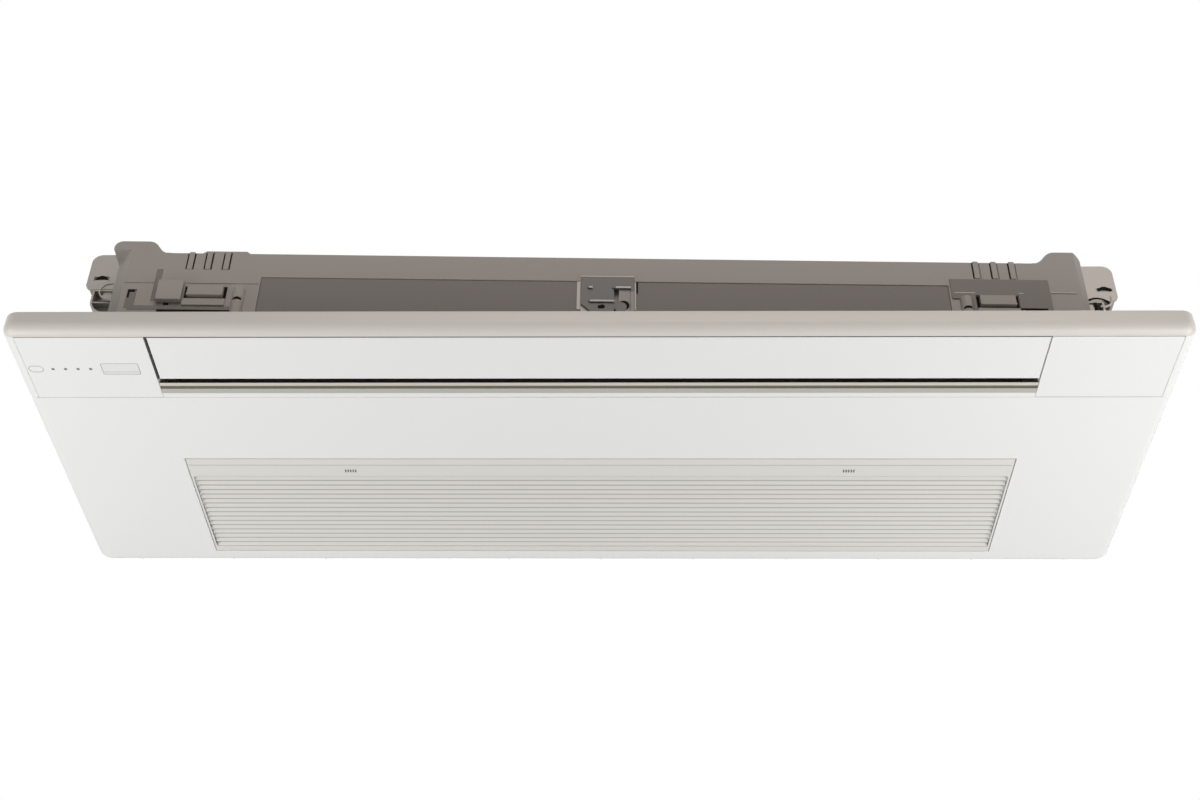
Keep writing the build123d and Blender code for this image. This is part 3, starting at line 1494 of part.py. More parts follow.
def hanger(side, end):
    """A hanger bracket: an upright cheek, a slotted shelf and the flange that screws to the casing."""
    front = hanger_front
    x0 = casing_end
    x1 = casing_end + hanger_reaches[side > 0]
    low = over_ceiling(hanger_lip)
    top = over_ceiling(hanger_top)
    if end < 0:
        front = hanger_front - yaw_shift(side * casing_end)
    cheek = block(x0, x1, -front, -front + hanger_plate, low, top)
    outer = cheek.edges().filter_by(Axis.Y).sort_by(Axis.X)[-2:].sort_by(Axis.Z)
    cheek = fillet(outer[-1], hanger_round)
    cheek = fillet(cheek.edges().filter_by(Axis.Y).sort_by(Axis.X)[-2:].sort_by(Axis.Z)[0], lip_round)
    crescent = Pos(x0 + crescent_places[side > 0], -front, over_ceiling(crescent_lift)) * Rot(90, 0, 0) * \
        SlotOverall(crescent_length, crescent_height)
    cheek -= extrude(crescent, amount=crescent_depth, both=True)
    shelf_plate = block(x0, x1, -front + hanger_plate + shelf_gap, -hanger_inner, 0, hanger_plate)
    shelf_plate -= slot_z(slot_length, slot_radius, -bite, hanger_plate + bite, slot_x, -slot_y)
    flange = block(x0, x0 + hanger_plate, -front, -hanger_inner, low, over_ceiling(hanger_top - flange_drop))
    rim = block(x1 - hanger_plate, x1, -front, -hanger_inner, -lip_round, hanger_plate + rim_height)
    bracket = cheek + shelf_plate + flange + rim
    for i in (0, 1):
        bracket -= rod_x(screw_radius + screw_hole_gap, x0 - bite, x0 + hanger_plate + bite,
                         *hanger_screw(i))
    if side < 0:
        bracket = bracket.mirror(Plane.YZ)
    if end > 0:
        bracket = bracket.mirror(Plane.XZ)
    return bracket


def hanger_screw(i):
    """The place (y, z) of a screw in a front hanger's flange."""
    return (-hanger_inner - hanger_screw_inset - i * hanger_screw_step,
            over_ceiling(hanger_lip + hanger_screw_lift))


def hanger_brackets():
    return group([hanger(side, end) for side in (-1, 1) for end in (-1, 1)])


def end_skirt(side):
    front = -hanger_front + yaw_shift(side * casing_end)
    x0 = casing_end
    x1 = casing_end + skirt_reach
    low = over_ceiling(skirt_low)
    top = over_ceiling(skirt_high)
    body = block(x0, x1, front, front + skirt_depth, low, top)
    corner = body.edges().filter_by(Axis.Y).group_by(Axis.Z)[0].sort_by(Axis.X)[-1]
    body = fillet(corner, skirt_round)
    upper = body.edges().filter_by(Axis.Y).group_by(Axis.Z)[-1].sort_by(Axis.X)[-1]
    body = fillet(upper, skirt_top_round)
    hollow = block(x0 + skirt_wall, x1 - skirt_wall, front - bite, front + skirt_setback, low + skirt_wall,
                   top - skirt_wall)
    corner = hollow.edges().filter_by(Axis.Y).group_by(Axis.Z)[0].sort_by(Axis.X)[-1]
    hollow = fillet(corner, skirt_round - skirt_wall)
    rear = block(x0 + skirt_wall, x1 - skirt_wall, front + skirt_setback + skirt_wall,
                 front + skirt_depth + bite, low + skirt_wall, top - skirt_wall)
    corner = rear.edges().filter_by(Axis.Y).group_by(Axis.Z)[0].sort_by(Axis.X)[-1]
    rear = fillet(corner, skirt_round - skirt_wall)
    body = body - hollow - rear
    ledge = over_ceiling(skirt_ledge)
    floor = front + skirt_setback
    body += block(x0 + bite, x1 - bite, front + skirt_ledge_setback, floor + bite, ledge,
                  ledge + skirt_wall)
    post = Pos(x0 + post_x, front + post_setback, top - post_drop) * Rot(90, 0, 0) * \
        Ellipse(post_half_width, post_half_height)
    body += extrude(post, amount=-(skirt_setback - bite), dir=(0, -1, 0))
    x = x0 + square_x
    for z in (top - square_drop, top - square_drop - square_step):
        body -= block(x - square_half_width, x + square_half_width, front - bite, front + skirt_depth,
                      z - square_half_height, z + square_half_height)
    return body.mirror(Plane.YZ) if side < 0 else body


# ---------------------------------------------------------------- screws
def screw_up(length, x, y, z):
    """A pan head screw whose shank points up from the seat of its head."""
    head = rod_z(screw_head, z - screw_head_height, z, x, y)
    return head + rod_z(screw_radius, z - bite, z + length, x, y)


def screws():
    """The panel's four screws, the top plate's six and the hangers' eight."""
    pieces = []
    well = over_face(panel_thickness / 2)
    tab_low = ceiling - wall_drop - panel_skin
    for side in (-1, 1):
        pieces.append(screw_up(base_top + screw_tip - well, side * strip_screw_x, strip_screw_y, well))
        pieces.append(screw_up(base_top + screw_tip - tab_low, side * tab_screw_x, tab_screw_y, tab_low))
        x = side * (casing_end - top_screw_inset)
        for y in top_screw_places():
            pieces.append(rod_z(screw_head, casing_top, casing_top + screw_head_height, x, y)
                          + rod_z(screw_radius, roof_under - top_screw_tip, casing_top + bite, x, y))
        seat = side * (casing_end + hanger_plate)
        for end in (-1, 1):
            for i in (0, 1):
                y, z = hanger_screw(i)
                pieces.append(rod_x(screw_head, seat, seat + side * screw_head_height, -end * y, z)
                              + rod_x(screw_radius, side * casing_end, seat + side, -end * y, z))
    return group(pieces)


# ---------------------------------------------------------------- every piece, by name
def pieces():
    made = {
        "panel_frame": panel_frame(),
        "side_cover_left": side_cover(-1),
        "side_cover_right": side_cover(1),
        "receiver_window": receiver_window(),
        "indicator_lenses": indicator_lenses(),
        "display_board": display_board(),
        "emergency_button": emergency_button(),
        "button_spring": button_spring(),
        "outlet_frame": outlet_frame(),
        "vane": vane(),
        "vane_bushes": vane_bushes(),
        "vane_motor": vane_motor(),
        "louver_rail": louver_rail(),
        "link_bar_left": link_bar(-1),
        "link_bar_right": link_bar(1),
        "louver_motors": louver_motors(),
        "intake_grille": intake_grille(),
        "air_filters": air_filters(),
        "latch_housings": latch_housings(),
        "latch_plunger_left": latch_plunger(-1),
        "latch_plunger_right": latch_plunger(1),
        "front_moulding": front_moulding(),
        "front_insulation": front_insulation(),
        "panel_catches": panel_catches(),
        "centre_bracket": centre_bracket(),
        "end_skirt_left": end_skirt(-1),
        "end_skirt_right": end_skirt(1),
        "hanger_brackets": hanger_brackets(),
        "screws": screws(),
        "top_plate": top_plate(),
        "rear_plate": rear_plate(),
        "end_plate_left": end_plate(-1),
        "end_plate_right": end_plate(1),
        "casing_plate": casing_plate(),
        "partition_left": partition(-1),
        "partition_right": partition(1),
        "scroll_liner": scroll_liner(),
        "stabiliser": stabiliser(),
        "drain_pan": drain_pan(),
        "drain_spigot": drain_spigot(),
        "coil_fins": coil_fins(),
        "coil_tubes": coil_tubes(),
        "refrigerant_pipes": refrigerant_pipes(),
        "flare_nuts": flare_nuts(),
        "fan_rotor": fan_rotor(),
        "fan_axles": fan_axles(),
        "fan_motor": fan_motor(),
        "fan_bearing": fan_bearing(),
        "control_box": control_box(),
        "control_lid": control_lid(),
        "circuit_board": circuit_board(),
        "cable_gland": cable_gland(),
    }
    for side, name in ((-1, "left"), (1, "right")):
        for i, x in enumerate(louver_places(side)):
            made[f"louver_{name}_{i + 1}"] = louver(x, i == 0)
    return made


def main():
    os.makedirs("parts", exist_ok=True)
    for name, piece in pieces().items():
        export_step(piece, f"parts/{name}.step")


main()
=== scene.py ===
"""The looks of a one-way ceiling cassette air conditioner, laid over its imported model.

Metres, in the model's frame: X along the unit, left to right as seen from the outlet side,
which lies towards -Y, and +Z up. The fine trim is drawn in millimetres from a seat.
"""

import json
from math import cos, pi, radians, sin

import bmesh
import bpy
from bpy.props import FloatProperty, FloatVectorProperty, PointerProperty
from bpy.types import Operator, Panel, PropertyGroup
from mathutils import Matrix, Vector


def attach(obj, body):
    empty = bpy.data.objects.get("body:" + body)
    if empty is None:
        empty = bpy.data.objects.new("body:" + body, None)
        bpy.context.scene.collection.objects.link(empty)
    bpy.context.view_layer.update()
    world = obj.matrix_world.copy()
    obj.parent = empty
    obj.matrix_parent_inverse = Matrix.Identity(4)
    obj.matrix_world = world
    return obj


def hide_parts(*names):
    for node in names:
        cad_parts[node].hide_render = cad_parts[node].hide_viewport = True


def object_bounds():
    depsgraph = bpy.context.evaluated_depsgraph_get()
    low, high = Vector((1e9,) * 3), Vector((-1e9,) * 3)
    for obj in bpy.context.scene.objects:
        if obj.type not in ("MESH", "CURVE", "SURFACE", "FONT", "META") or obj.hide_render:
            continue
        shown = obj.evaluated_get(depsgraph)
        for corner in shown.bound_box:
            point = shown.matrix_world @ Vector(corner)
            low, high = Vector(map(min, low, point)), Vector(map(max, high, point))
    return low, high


bl_info = {
    "name": "Ceiling cassette air conditioner",
    "version": (1, 0, 0),
    "blender": (4, 5, 0),
    "location": "View3D > Sidebar > Cassette",
    "description": "Finishes and fine pieces for a one-way ceiling cassette air conditioner",
    "category": "Object",
}

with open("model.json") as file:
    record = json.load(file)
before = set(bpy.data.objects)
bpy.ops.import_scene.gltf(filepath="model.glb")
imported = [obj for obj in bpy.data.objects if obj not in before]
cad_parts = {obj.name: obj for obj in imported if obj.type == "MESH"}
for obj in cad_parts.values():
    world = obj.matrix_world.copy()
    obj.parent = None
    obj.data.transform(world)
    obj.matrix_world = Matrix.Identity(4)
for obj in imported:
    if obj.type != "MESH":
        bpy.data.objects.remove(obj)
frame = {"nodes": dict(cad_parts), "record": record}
cad_low, cad_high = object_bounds()
slot_of_node = {row["node"]: row["material_slot"] for row in frame["record"]["subparts"]}
mounts = {mount["name"]: mount for mount in frame["record"]["mounts"]}
body_of_node = {node: body for body, nodes in frame["record"]["behaviour"]["bodies"].items()
                for node in nodes}


# ---------------------------------------------------------------- what a user may change
def colour(name, description, default):
    return FloatVectorProperty(name=name, description=description, default=default,
                               subtype="COLOR", size=3, min=0, max=1)


def length(name, description, default):
    return FloatProperty(name=name, description=description, default=default,
                         subtype="DISTANCE", unit="LENGTH", min=0)


class CassetteColours(PropertyGroup):
    """Base colours of the finishes."""

    panel: colour("Panel", "White of the panel, its covers and the vane", (0.80, 0.80, 0.79))
    grille: colour("Grille", "Off-white of the intake grille", (0.655, 0.62, 0.58))
    outlet: colour("Outlet", "Pale beige of the outlet frame", (0.62, 0.60, 0.545))
    casing: colour("Casing", "Warm grey of the front moulding", (0.38, 0.35, 0.325))
    # painted highlight: the paler grey of lit ledges, edges and bent hooks
    ledge: colour("Ledges", "Paler grey of worn ledges and edges", (0.60, 0.56, 0.525))
    # the foam is real; its dark grey also paints the shade of the recess it lines, and the centre
    # bracket takes it as painted shade
    insulation: colour("Insulation", "Dark grey of the foam on the front", (0.122, 0.110, 0.104))
    bracket: colour("Bracket", "Grey paint of the brackets", (0.285, 0.26, 0.24))
    foam: colour("Foam", "Pale moulded foam round the fan and the drain pan", (0.30, 0.30, 0.30))
    zinc: colour("Zinc", "Galvanised sheet of the casing", (0.62, 0.63, 0.64))
    copper: colour("Copper", "Drawn copper tube", (0.80, 0.46, 0.31))
    brass: colour("Brass", "Turned brass", (0.78, 0.62, 0.32))
    aluminium: colour("Aluminium", "Coil fins", (0.76, 0.78, 0.80))
    black: colour("Black", "Black mouldings inside the unit", (0.035, 0.035, 0.036))
    board: colour("Board", "Lacquer of the circuit boards", (0.03, 0.17, 0.07))


class CassetteSizes(PropertyGroup):
    """Sizes of what the finishing pieces add."""

    edge: length("Edge radius", "Rounding of a moulding's sharp edges", 0.0003)
    sheet_edge: length("Sheet edge radius", "Rounding of a sheet's cut edges", 0.00015)
    lens: length("Camera lens", "Focal length on a 36 mm wide sensor", 0.05024)
    floor_drop: length("Floor drop", "From the panel's face to the floor", 2.2)
    # width of the painted shadow lines round the button, the lamps and the window
    line: length("Outline width", "Width of the lines round button and window", 0.00055)
    fin_pitch: length("Fin pitch", "Distance between the coil's fins", 0.0016)
    thread_pitch: length("Filter thread pitch", "Distance between the filters' threads", 0.0015)


def colours():
    return bpy.context.scene.cassette_colours


def sizes():
    return bpy.context.scene.cassette_sizes


# ---------------------------------------------------------------- shader node groups
FINISH_INPUTS = [
    ("Colour", "NodeSocketColor", (1, 1, 1, 1)), ("Colour Spread", "NodeSocketFloat", 0.03),
    ("Roughness", "NodeSocketFloat", 0.5), ("Roughness Spread", "NodeSocketFloat", 0.08),
    ("Grain Scale", "NodeSocketFloat", 900.0), ("Grain Depth", "NodeSocketFloat", 0.1),
]
FINISH_OUTPUTS = [("Colour", "NodeSocketColor"), ("Roughness", "NodeSocketFloat"),
                  ("Normal", "NodeSocketVector")]
FINISH_GROUPS = {
    "moulded_grain": dict(stretch=(1, 1, 1), cloud_scale=5.0),
    "rolled_streaks": dict(stretch=(0.04, 1, 1), cloud_scale=40.0),
    "zinc_spangle": dict(stretch=(1, 1, 1), cloud_scale=12.0, cells=True),
    "foam_beads": dict(stretch=(1, 1, 1), cloud_scale=9.0, cells=True),
    "turned_rings": dict(stretch=(1, 0.05, 0.05), cloud_scale=60.0),
}
CLOUD_DETAIL, GRAIN_DETAIL = 3.0, 2.0
BUMP_DISTANCE = 0.0004


def feed(tree, socket, value):
    """Links a socket to the one that feeds it, or sets it to a number."""
    if isinstance(value, bpy.types.NodeSocket):
        tree.links.new(value, socket)
    else:
        socket.default_value = value


def math_node(tree, operation, first, second):
    """A Math node; each operand is a socket or a number."""
    node = tree.nodes.new("ShaderNodeMath")
    node.operation = operation
    feed(tree, node.inputs[0], first)
    feed(tree, node.inputs[1], second)
    return node.outputs[0]


def noise(tree, vector, scale, detail):
    node = tree.nodes.new("ShaderNodeTexNoise")
    feed(tree, node.inputs["Vector"], vector)
    feed(tree, node.inputs["Scale"], scale)
    feed(tree, node.inputs["Detail"], detail)
    return node.outputs["Fac"]


def shaded(tree, colour_socket, factor):
    """A colour times a grey factor."""
    node = tree.nodes.new("ShaderNodeVectorMath")
    node.operation = "SCALE"
    feed(tree, node.inputs[0], colour_socket)
    feed(tree, node.inputs["Scale"], factor)
    return node.outputs[0]


def bumped(tree, height, strength):
    node = tree.nodes.new("ShaderNodeBump")
    feed(tree, node.inputs["Distance"], BUMP_DISTANCE)
    feed(tree, node.inputs["Height"], height)
    feed(tree, node.inputs["Strength"], strength)
    return node.outputs["Normal"]


def spread_about_one(tree, value, spread):
    """1 + (value - 0.5) x 2 x spread."""
    centred = math_node(tree, "SUBTRACT", value, 0.5)
    doubled = math_node(tree, "MULTIPLY", centred, 2.0)
    return math_node(tree, "ADD", math_node(tree, "MULTIPLY", doubled, spread), 1.0)


def finish_group(name, stretch, cloud_scale, cells=False):
    """A finish: slow shade clouds, uneven gloss and a fine grain, all stretched by a vector."""
    group = bpy.data.node_groups.new(name, "ShaderNodeTree")
    for label, kind, default in FINISH_INPUTS:
        socket = group.interface.new_socket(label, in_out="INPUT", socket_type=kind)
        socket.default_value = default
    for label, kind in FINISH_OUTPUTS:
        group.interface.new_socket(label, in_out="OUTPUT", socket_type=kind)
    given = group.nodes.new("NodeGroupInput").outputs
    result = group.nodes.new("NodeGroupOutput").inputs
    place = group.nodes.new("ShaderNodeTexCoord")
    mapping = group.nodes.new("ShaderNodeMapping")
    mapping.inputs["Scale"].default_value = stretch
    feed(group, mapping.inputs["Vector"], place.outputs["Object"])
    vector = mapping.outputs["Vector"]
    clouds = noise(group, vector, cloud_scale, CLOUD_DETAIL)
    if cells:
        cell = group.nodes.new("ShaderNodeTexVoronoi")
        feed(group, cell.inputs["Vector"], vector)
        feed(group, cell.inputs["Scale"], given["Grain Scale"])
        split = group.nodes.new("ShaderNodeSeparateColor")
        feed(group, split.inputs["Color"], cell.outputs["Color"])
        grain, patches = cell.outputs["Distance"], split.outputs["Red"]
    else:
        grain, patches = noise(group, vector, given["Grain Scale"], GRAIN_DETAIL), clouds
    shade = spread_about_one(group, patches, given["Colour Spread"])
    gloss = spread_about_one(group, clouds, given["Roughness Spread"])
    roughness = math_node(group, "MULTIPLY", given["Roughness"], gloss)
    feed(group, result["Colour"], shaded(group, given["Colour"], shade))
    feed(group, result["Roughness"], roughness)
    feed(group, result["Normal"], bumped(group, grain, given["Grain Depth"]))
    return group


def shared_group(name):
    return bpy.data.node_groups.get(name) or finish_group(name, **FINISH_GROUPS[name])


# ---------------------------------------------------------------- materials
# A colour is a user's colour by its name, or fixed. The names of the first rows are the
# record's material slots, and the others belong to trim that looks unlike its slot.
PLASTICS = {  # colour, then what differs from a plain plastic
    "panel_white": ("panel", dict(roughness=0.34)),
    "grille_white": ("grille", dict(roughness=0.42)),
    "outlet_beige": ("outlet", dict(roughness=0.45)),
    "casing_grey": ("casing", dict(roughness=0.55, spread=0.035, grain=700.0, depth=0.12)),
    "mesh_grey": ((0.42, 0.44, 0.45), dict(roughness=0.6)),
    "tinted_window": ((0.84, 0.845, 0.84), dict(roughness=0.14, Coat_Weight=0.5)),
    "lamp": ((0.11, 0.11, 0.11), dict(roughness=0.2)),
    "fan_black": ("black", dict(roughness=0.5, spread=0.1)),
    "black_plastic": ("black", dict(roughness=0.42, spread=0.1)),
    # painted shade: the panel's white front rim, darkened to the grille's off-white where it turns
    # from the lamps
    "rim_shade_white": ("grille", dict(roughness=0.36)),
    # painted shade: a darkened beige for the inner face of the panel's opening
    "outlet_beige_in_shade": ((0.46, 0.445, 0.40), dict(roughness=0.5)),
    # painted shadow in the gap between the outlet frame and the panel
    "joint_shadow_grey": ((0.13, 0.125, 0.11), dict(roughness=0.7)),
    # painted shadow in the covers' groove and parting line
    "groove_shadow_grey": ((0.07, 0.068, 0.065), dict(roughness=0.7)),
    # painted shadow in the gaps round the button, the lamps and the window
    "gap_shadow_grey": ((0.22, 0.22, 0.215), dict(roughness=0.5)),
    "mark_grey": ((0.05, 0.05, 0.05), dict(roughness=0.5)),
    "line_grey": ((0.20, 0.19, 0.175), dict(roughness=0.6)),
    # painted shadow: the line where each grille slat is shaded by the next
    "slat_shadow_grey": ((0.43, 0.40, 0.365), dict(roughness=0.8)),
    # painted shadow: black for gaps, grooves, slots and holes that are dark only from shade
    "shadow_black": ((0.010, 0.009, 0.008), dict(roughness=0.9, Specular_IOR_Level=0.1)),
    # painted highlight on lit ledges, edges and hooks
    "lit_edge_grey": ("ledge", dict(roughness=0.5, spread=0.03)),
    "floor_pale": ((0.82, 0.82, 0.81), dict(roughness=0.7, Emission_Strength=1.0)),
}
FINISHES = {  # colour, group, colour spread, roughness, its spread, grain scale, depth, metallic
    "foam_dark": ("insulation", "moulded_grain", 0.06, 0.85, 0.05, 1600.0, 0.35, 0.0),
    "foam_pale": ("foam", "foam_beads", 0.06, 0.8, 0.05, 260.0, 0.35, 0.0),
    "steel_sheet": ("zinc", "zinc_spangle", 0.07, 0.42, 0.2, 90.0, 0.02, 1.0),
    "hanger_steel": ("bracket", "moulded_grain", 0.04, 0.5, 0.1, 500.0, 0.12, 0.0),
    "screw_steel": ("zinc", "turned_rings", 0.08, 0.3, 0.2, 900.0, 0.05, 1.0),
    "board": ("board", "moulded_grain", 0.2, 0.35, 0.1, 500.0, 0.1, 0.0),
    "copper": ("copper", "rolled_streaks", 0.12, 0.28, 0.3, 500.0, 0.06, 1.0),
    "brass": ("brass", "turned_rings", 0.06, 0.25, 0.2, 800.0, 0.06, 1.0),
    "fin_aluminium": ("aluminium", "rolled_streaks", 0.06, 0.35, 0.2, 700.0, 0.05, 1.0),
    "motor_shell": ((0.12, 0.12, 0.125), "turned_rings", 0.1, 0.4, 0.1, 600.0, 0.06, 0.6),
    "spring_steel": ("zinc", "rolled_streaks", 0.05, 0.25, 0.2, 900.0, 0.03, 1.0),
    # painted shade: the centre bracket and its drum in the recess's dark grey
    "bracket_recess_shade": ("insulation", "moulded_grain", 0.04, 0.5, 0.1, 500.0, 0.12, 0.0),
}
PLASTIC_GLOSS_SPREAD = 0.08


def finish(name, base, group, spread, roughness, gloss_spread, grain, depth, **shader):
    """A material whose colour, roughness and normal come from a shared finish group."""
    material = bpy.data.materials.new(name)
    material.use_nodes = True
    tree = material.node_tree
    bsdf = tree.nodes["Principled BSDF"]
    node = tree.nodes.new("ShaderNodeGroup")
    node.node_tree = shared_group(group)
    if isinstance(base, str):
        base = getattr(colours(), base)
    values = (*base, 1.0), spread, roughness, gloss_spread, grain, depth
    for socket, value in zip(node.inputs, values):
        socket.default_value = value
    feed(tree, bsdf.inputs["Base Color"], node.outputs["Colour"])
    feed(tree, bsdf.inputs["Roughness"], node.outputs["Roughness"])
    feed(tree, bsdf.inputs["Normal"], node.outputs["Normal"])
    for label, value in shader.items():
        bsdf.inputs[label.replace("_", " ")].default_value = value
    return material


def plastic(name, base, roughness, spread=0.012, grain=1400.0, depth=0.05, **shader):
    return finish(name, base, "moulded_grain", spread, roughness, PLASTIC_GLOSS_SPREAD,
                  grain, depth, **shader)


def finish_named(name):
    """One of the materials above, made when it is first asked for."""
    if name in bpy.data.materials:
        return bpy.data.materials[name]
    if name in PLASTICS:
        base, settings = PLASTICS[name]
        return plastic(name, base, **settings)
    *values, metallic = FINISHES[name]
    return finish(name, *values, Metallic=metallic)


# ---------------------------------------------------------------- pieces from the model's shapes
WELD_DISTANCE = 2e-6
FLAT_ANGLE = radians(0.4)
SHARP_ANGLE = radians(30)


def merged(node):
    """A merged copy of a node's mesh, with its flat areas joined into whole faces."""
    shape = bmesh.new()
    shape.from_mesh(frame["nodes"][node].data)
    bmesh.ops.remove_doubles(shape, verts=shape.verts, dist=WELD_DISTANCE)
    bmesh.ops.dissolve_limit(shape, angle_limit=FLAT_ANGLE, verts=shape.verts, edges=shape.edges)
    mesh = bpy.data.meshes.new(node + "_softened")
    shape.to_mesh(mesh)
    shape.free()
    stale = mesh.attributes.get("custom_normal")
    if stale:
        mesh.attributes.remove(stale)
    return mesh


def linked(name, data):
    """A new object in the scene."""
    item = bpy.data.objects.new(name, data)
    bpy.context.scene.collection.objects.link(item)
    return item


def plain_mesh(name, carrier):
    """The evaluated mesh of an object that is then removed."""
    graph = bpy.context.evaluated_depsgraph_get()
    mesh = bpy.data.meshes.new_from_object(carrier.evaluated_get(graph), depsgraph=graph)
    mesh.name = name
    bpy.data.objects.remove(carrier)
    return mesh


def placed(name, mesh, body, nodes=()):
    """A piece on its body, that stands for its nodes."""
    piece = linked(name, mesh)
    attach(piece, body)
    if nodes:
        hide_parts(*nodes)
    return piece


def softened(node, radius, coat=None):
    """A node's shape with its sharp edges rounded, in place of the node."""
    carrier = linked(node + "_carrier", merged(node))
    carrier.data.shade_smooth()
    carrier.data.set_sharp_from_angle(angle=SHARP_ANGLE)
    bevel = carrier.modifiers.new("edge", "BEVEL")
    bevel.width = radius
    bevel.segments = 2
    bevel.limit_method = "ANGLE"
    bevel.angle_limit = SHARP_ANGLE
    bevel.use_clamp_overlap = False
    bevel.harden_normals = True
    mesh = plain_mesh(node + "_shape", carrier)
    mesh.materials.clear()
    mesh.materials.append(finish_named(coat or slot_of_node[node]))
    return placed(node + "_shape", mesh, body_of_node[node], [node])


def finished(node):
    """A node that stays as it is, under its slot's finish."""
    piece = frame["nodes"][node]
    piece.data.materials.clear()
    piece.data.materials.append(finish_named(slot_of_node[node]))


# ---------------------------------------------------------------- small solids, in mm from a seat
MM = 0.001
FACE_SEAT = Matrix.Translation((0, 0, cad_low.z))
CEILING_SEAT = Matrix.Translation((0, 0, -0.105))
WALL_SEAT = Matrix.Translation((0, -0.18, -0.105)) @ Matrix.Rotation(radians(1.17), 4, "Z")
SLAB_EDGE = 0.08
ROUND_SIDES = 28


def spot(x, y, z):
    return Vector((x * MM, y * MM, z * MM))


def slab(shape, seat, x0, x1, y0, y1, z0, z1):
    """A box between two corners, with its edges taken off."""
    size = Matrix.Diagonal((*spot(x1 - x0, y1 - y0, z1 - z0), 1))
    middle = Matrix.Translation(spot((x0 + x1) / 2, (y0 + y1) / 2, (z0 + z1) / 2))
    corners = bmesh.ops.create_cube(shape, size=1, matrix=seat @ middle @ size)["verts"]
    edges = list({edge for corner in corners for edge in corner.link_edges})
    small = min(x1 - x0, y1 - y0, z1 - z0)
    bmesh.ops.bevel(shape, geom=edges, offset=min(SLAB_EDGE, small / 4) * MM, segments=1,
                    affect="EDGES")


def pin(shape, place, radius, depth):
    """A round plug about a placed Z axis."""
    bmesh.ops.create_cone(shape, cap_ends=True, segments=ROUND_SIDES, radius1=radius * MM,
                          radius2=radius * MM, depth=depth * MM, matrix=place)


def disc(shape, seat, x, y0, y1, z, radius):
    """A round plug with its axis across the unit."""
    middle = Matrix.Translation(spot(x, (y0 + y1) / 2, z)) @ Matrix.Rotation(pi / 2, 4, "X")
    pin(shape, seat @ middle, radius, y1 - y0)


def prism(shape, seat, points, y0, y1):
    """An outline in X and Z, closed in front and behind."""
    front, back = ([shape.verts.new(seat @ spot(x, y, z)) for x, z in points] for y in (y0, y1))
    shape.faces.new(front)
    shape.faces.new(back[::-1])
    for i in range(len(points)):
        shape.faces.new((front[i - 1], back[i - 1], back[i], front[i]))


def rounded_outline(x, y, half_x, half_y, radius, steps=8):
    points = []
    for quarter, (sx, sy) in enumerate(((1, 1), (-1, 1), (-1, -1), (1, -1))):
        for i in range(steps + 1):
            turn = (quarter + i / steps) * pi / 2
            points.append((x + sx * (half_x - radius) + radius * cos(turn),
                           y + sy * (half_y - radius) + radius * sin(turn)))
    return points


def ring(shape, seat, outer, inner, z0, z1):
    """A closed band between two outlines in X and Y."""
    loops = [[shape.verts.new(seat @ spot(x, y, z)) for x, y in points]
             for points, z in ((outer, z0), (outer, z1), (inner, z1), (inner, z0))]
    for j in range(4):
        for i in range(len(outer)):
            shape.faces.new((loops[j - 1][i - 1], loops[j - 1][i], loops[j][i], loops[j][i - 1]))


def crescent(x, z, half_length, rise, depth, steps=12):
    """An arched outline, thick in the middle and pointed at its ends."""
    spans = [(2 * i / steps - 1) for i in range(steps + 1)]
    upper = [(x + t * half_length, z + rise * (1 - t * t)) for t in spans]
    lower = [(x + t * half_length, z + (rise - depth) * (1 - t * t)) for t in spans[-2:0:-1]]
    return upper + lower


def arc(x, z, outer, inner, start, end, steps=16):
    """A curved strip between two angles in degrees."""
    turns = [radians(start + (end - start) * i / steps) for i in range(steps + 1)]
    return [(x + radius * cos(turn), z + radius * sin(turn))
            for radius, way in ((outer, 1), (inner, -1)) for turn in turns[::way]]


def made(name, shape, slot, coat=None, body="unit", nodes=()):
    """A finished piece from a drawn shape."""
    bmesh.ops.recalc_face_normals(shape, faces=shape.faces)
    mesh = bpy.data.meshes.new(name)
    shape.to_mesh(mesh)
    shape.free()
    mesh.materials.append(finish_named(coat or slot))
    return placed(name, mesh, body, nodes)


def slabs(name, seat, rows, slot, coat=None, body="unit", nodes=()):
    shape = bmesh.new()
    for row in rows:
        slab(shape, seat, *row)
    return made(name, shape, slot, coat, body, nodes)


# ---------------------------------------------------------------- what repeats, by Geometry Nodes
RING_SIDES, WIRE_SIDES = 40, 8
CAP_TOP = 0.72  # parts of the cap's radius, as are the cross's bars
CAP_CROSS = (1.05, 0.26)
CAP_CUT = 4.0  # parts of the cap's height


def box_shape(tree, given):
    cube = tree.nodes.new("GeometryNodeMeshCube")
    feed(tree, cube.inputs["Size"], given["Size"])
    return cube.outputs["Mesh"]


def bead_shape(tree, given):
    """A long round-ended swelling, as pressed into sheet."""
    ball = tree.nodes.new("GeometryNodeMeshUVSphere")
    for label, value in (("Segments", 32), ("Rings", 12), ("Radius", 0.5)):
        ball.inputs[label].default_value = value
    stretch = tree.nodes.new("GeometryNodeTransform")
    feed(tree, stretch.inputs["Geometry"], ball.outputs["Mesh"])
    feed(tree, stretch.inputs["Scale"], given["Size"])
    smooth = tree.nodes.new("GeometryNodeSetShadeSmooth")
    feed(tree, smooth.inputs["Geometry"], stretch.outputs["Geometry"])
    return smooth.outputs["Geometry"]


def ring_shape(tree, given):
    """A round ring, for screw threads and hose barbs."""
    path, section = (tree.nodes.new("GeometryNodeCurvePrimitiveCircle") for _ in range(2))
    path.inputs["Resolution"].default_value = RING_SIDES
    section.inputs["Resolution"].default_value = WIRE_SIDES
    feed(tree, path.inputs["Radius"], given["Radius"])
    feed(tree, section.inputs["Radius"], given["Wire"])
    sweep = tree.nodes.new("GeometryNodeCurveToMesh")
    feed(tree, sweep.inputs["Curve"], path.outputs["Curve"])
    feed(tree, sweep.inputs["Profile Curve"], section.outputs["Curve"])
    return sweep.outputs["Mesh"]


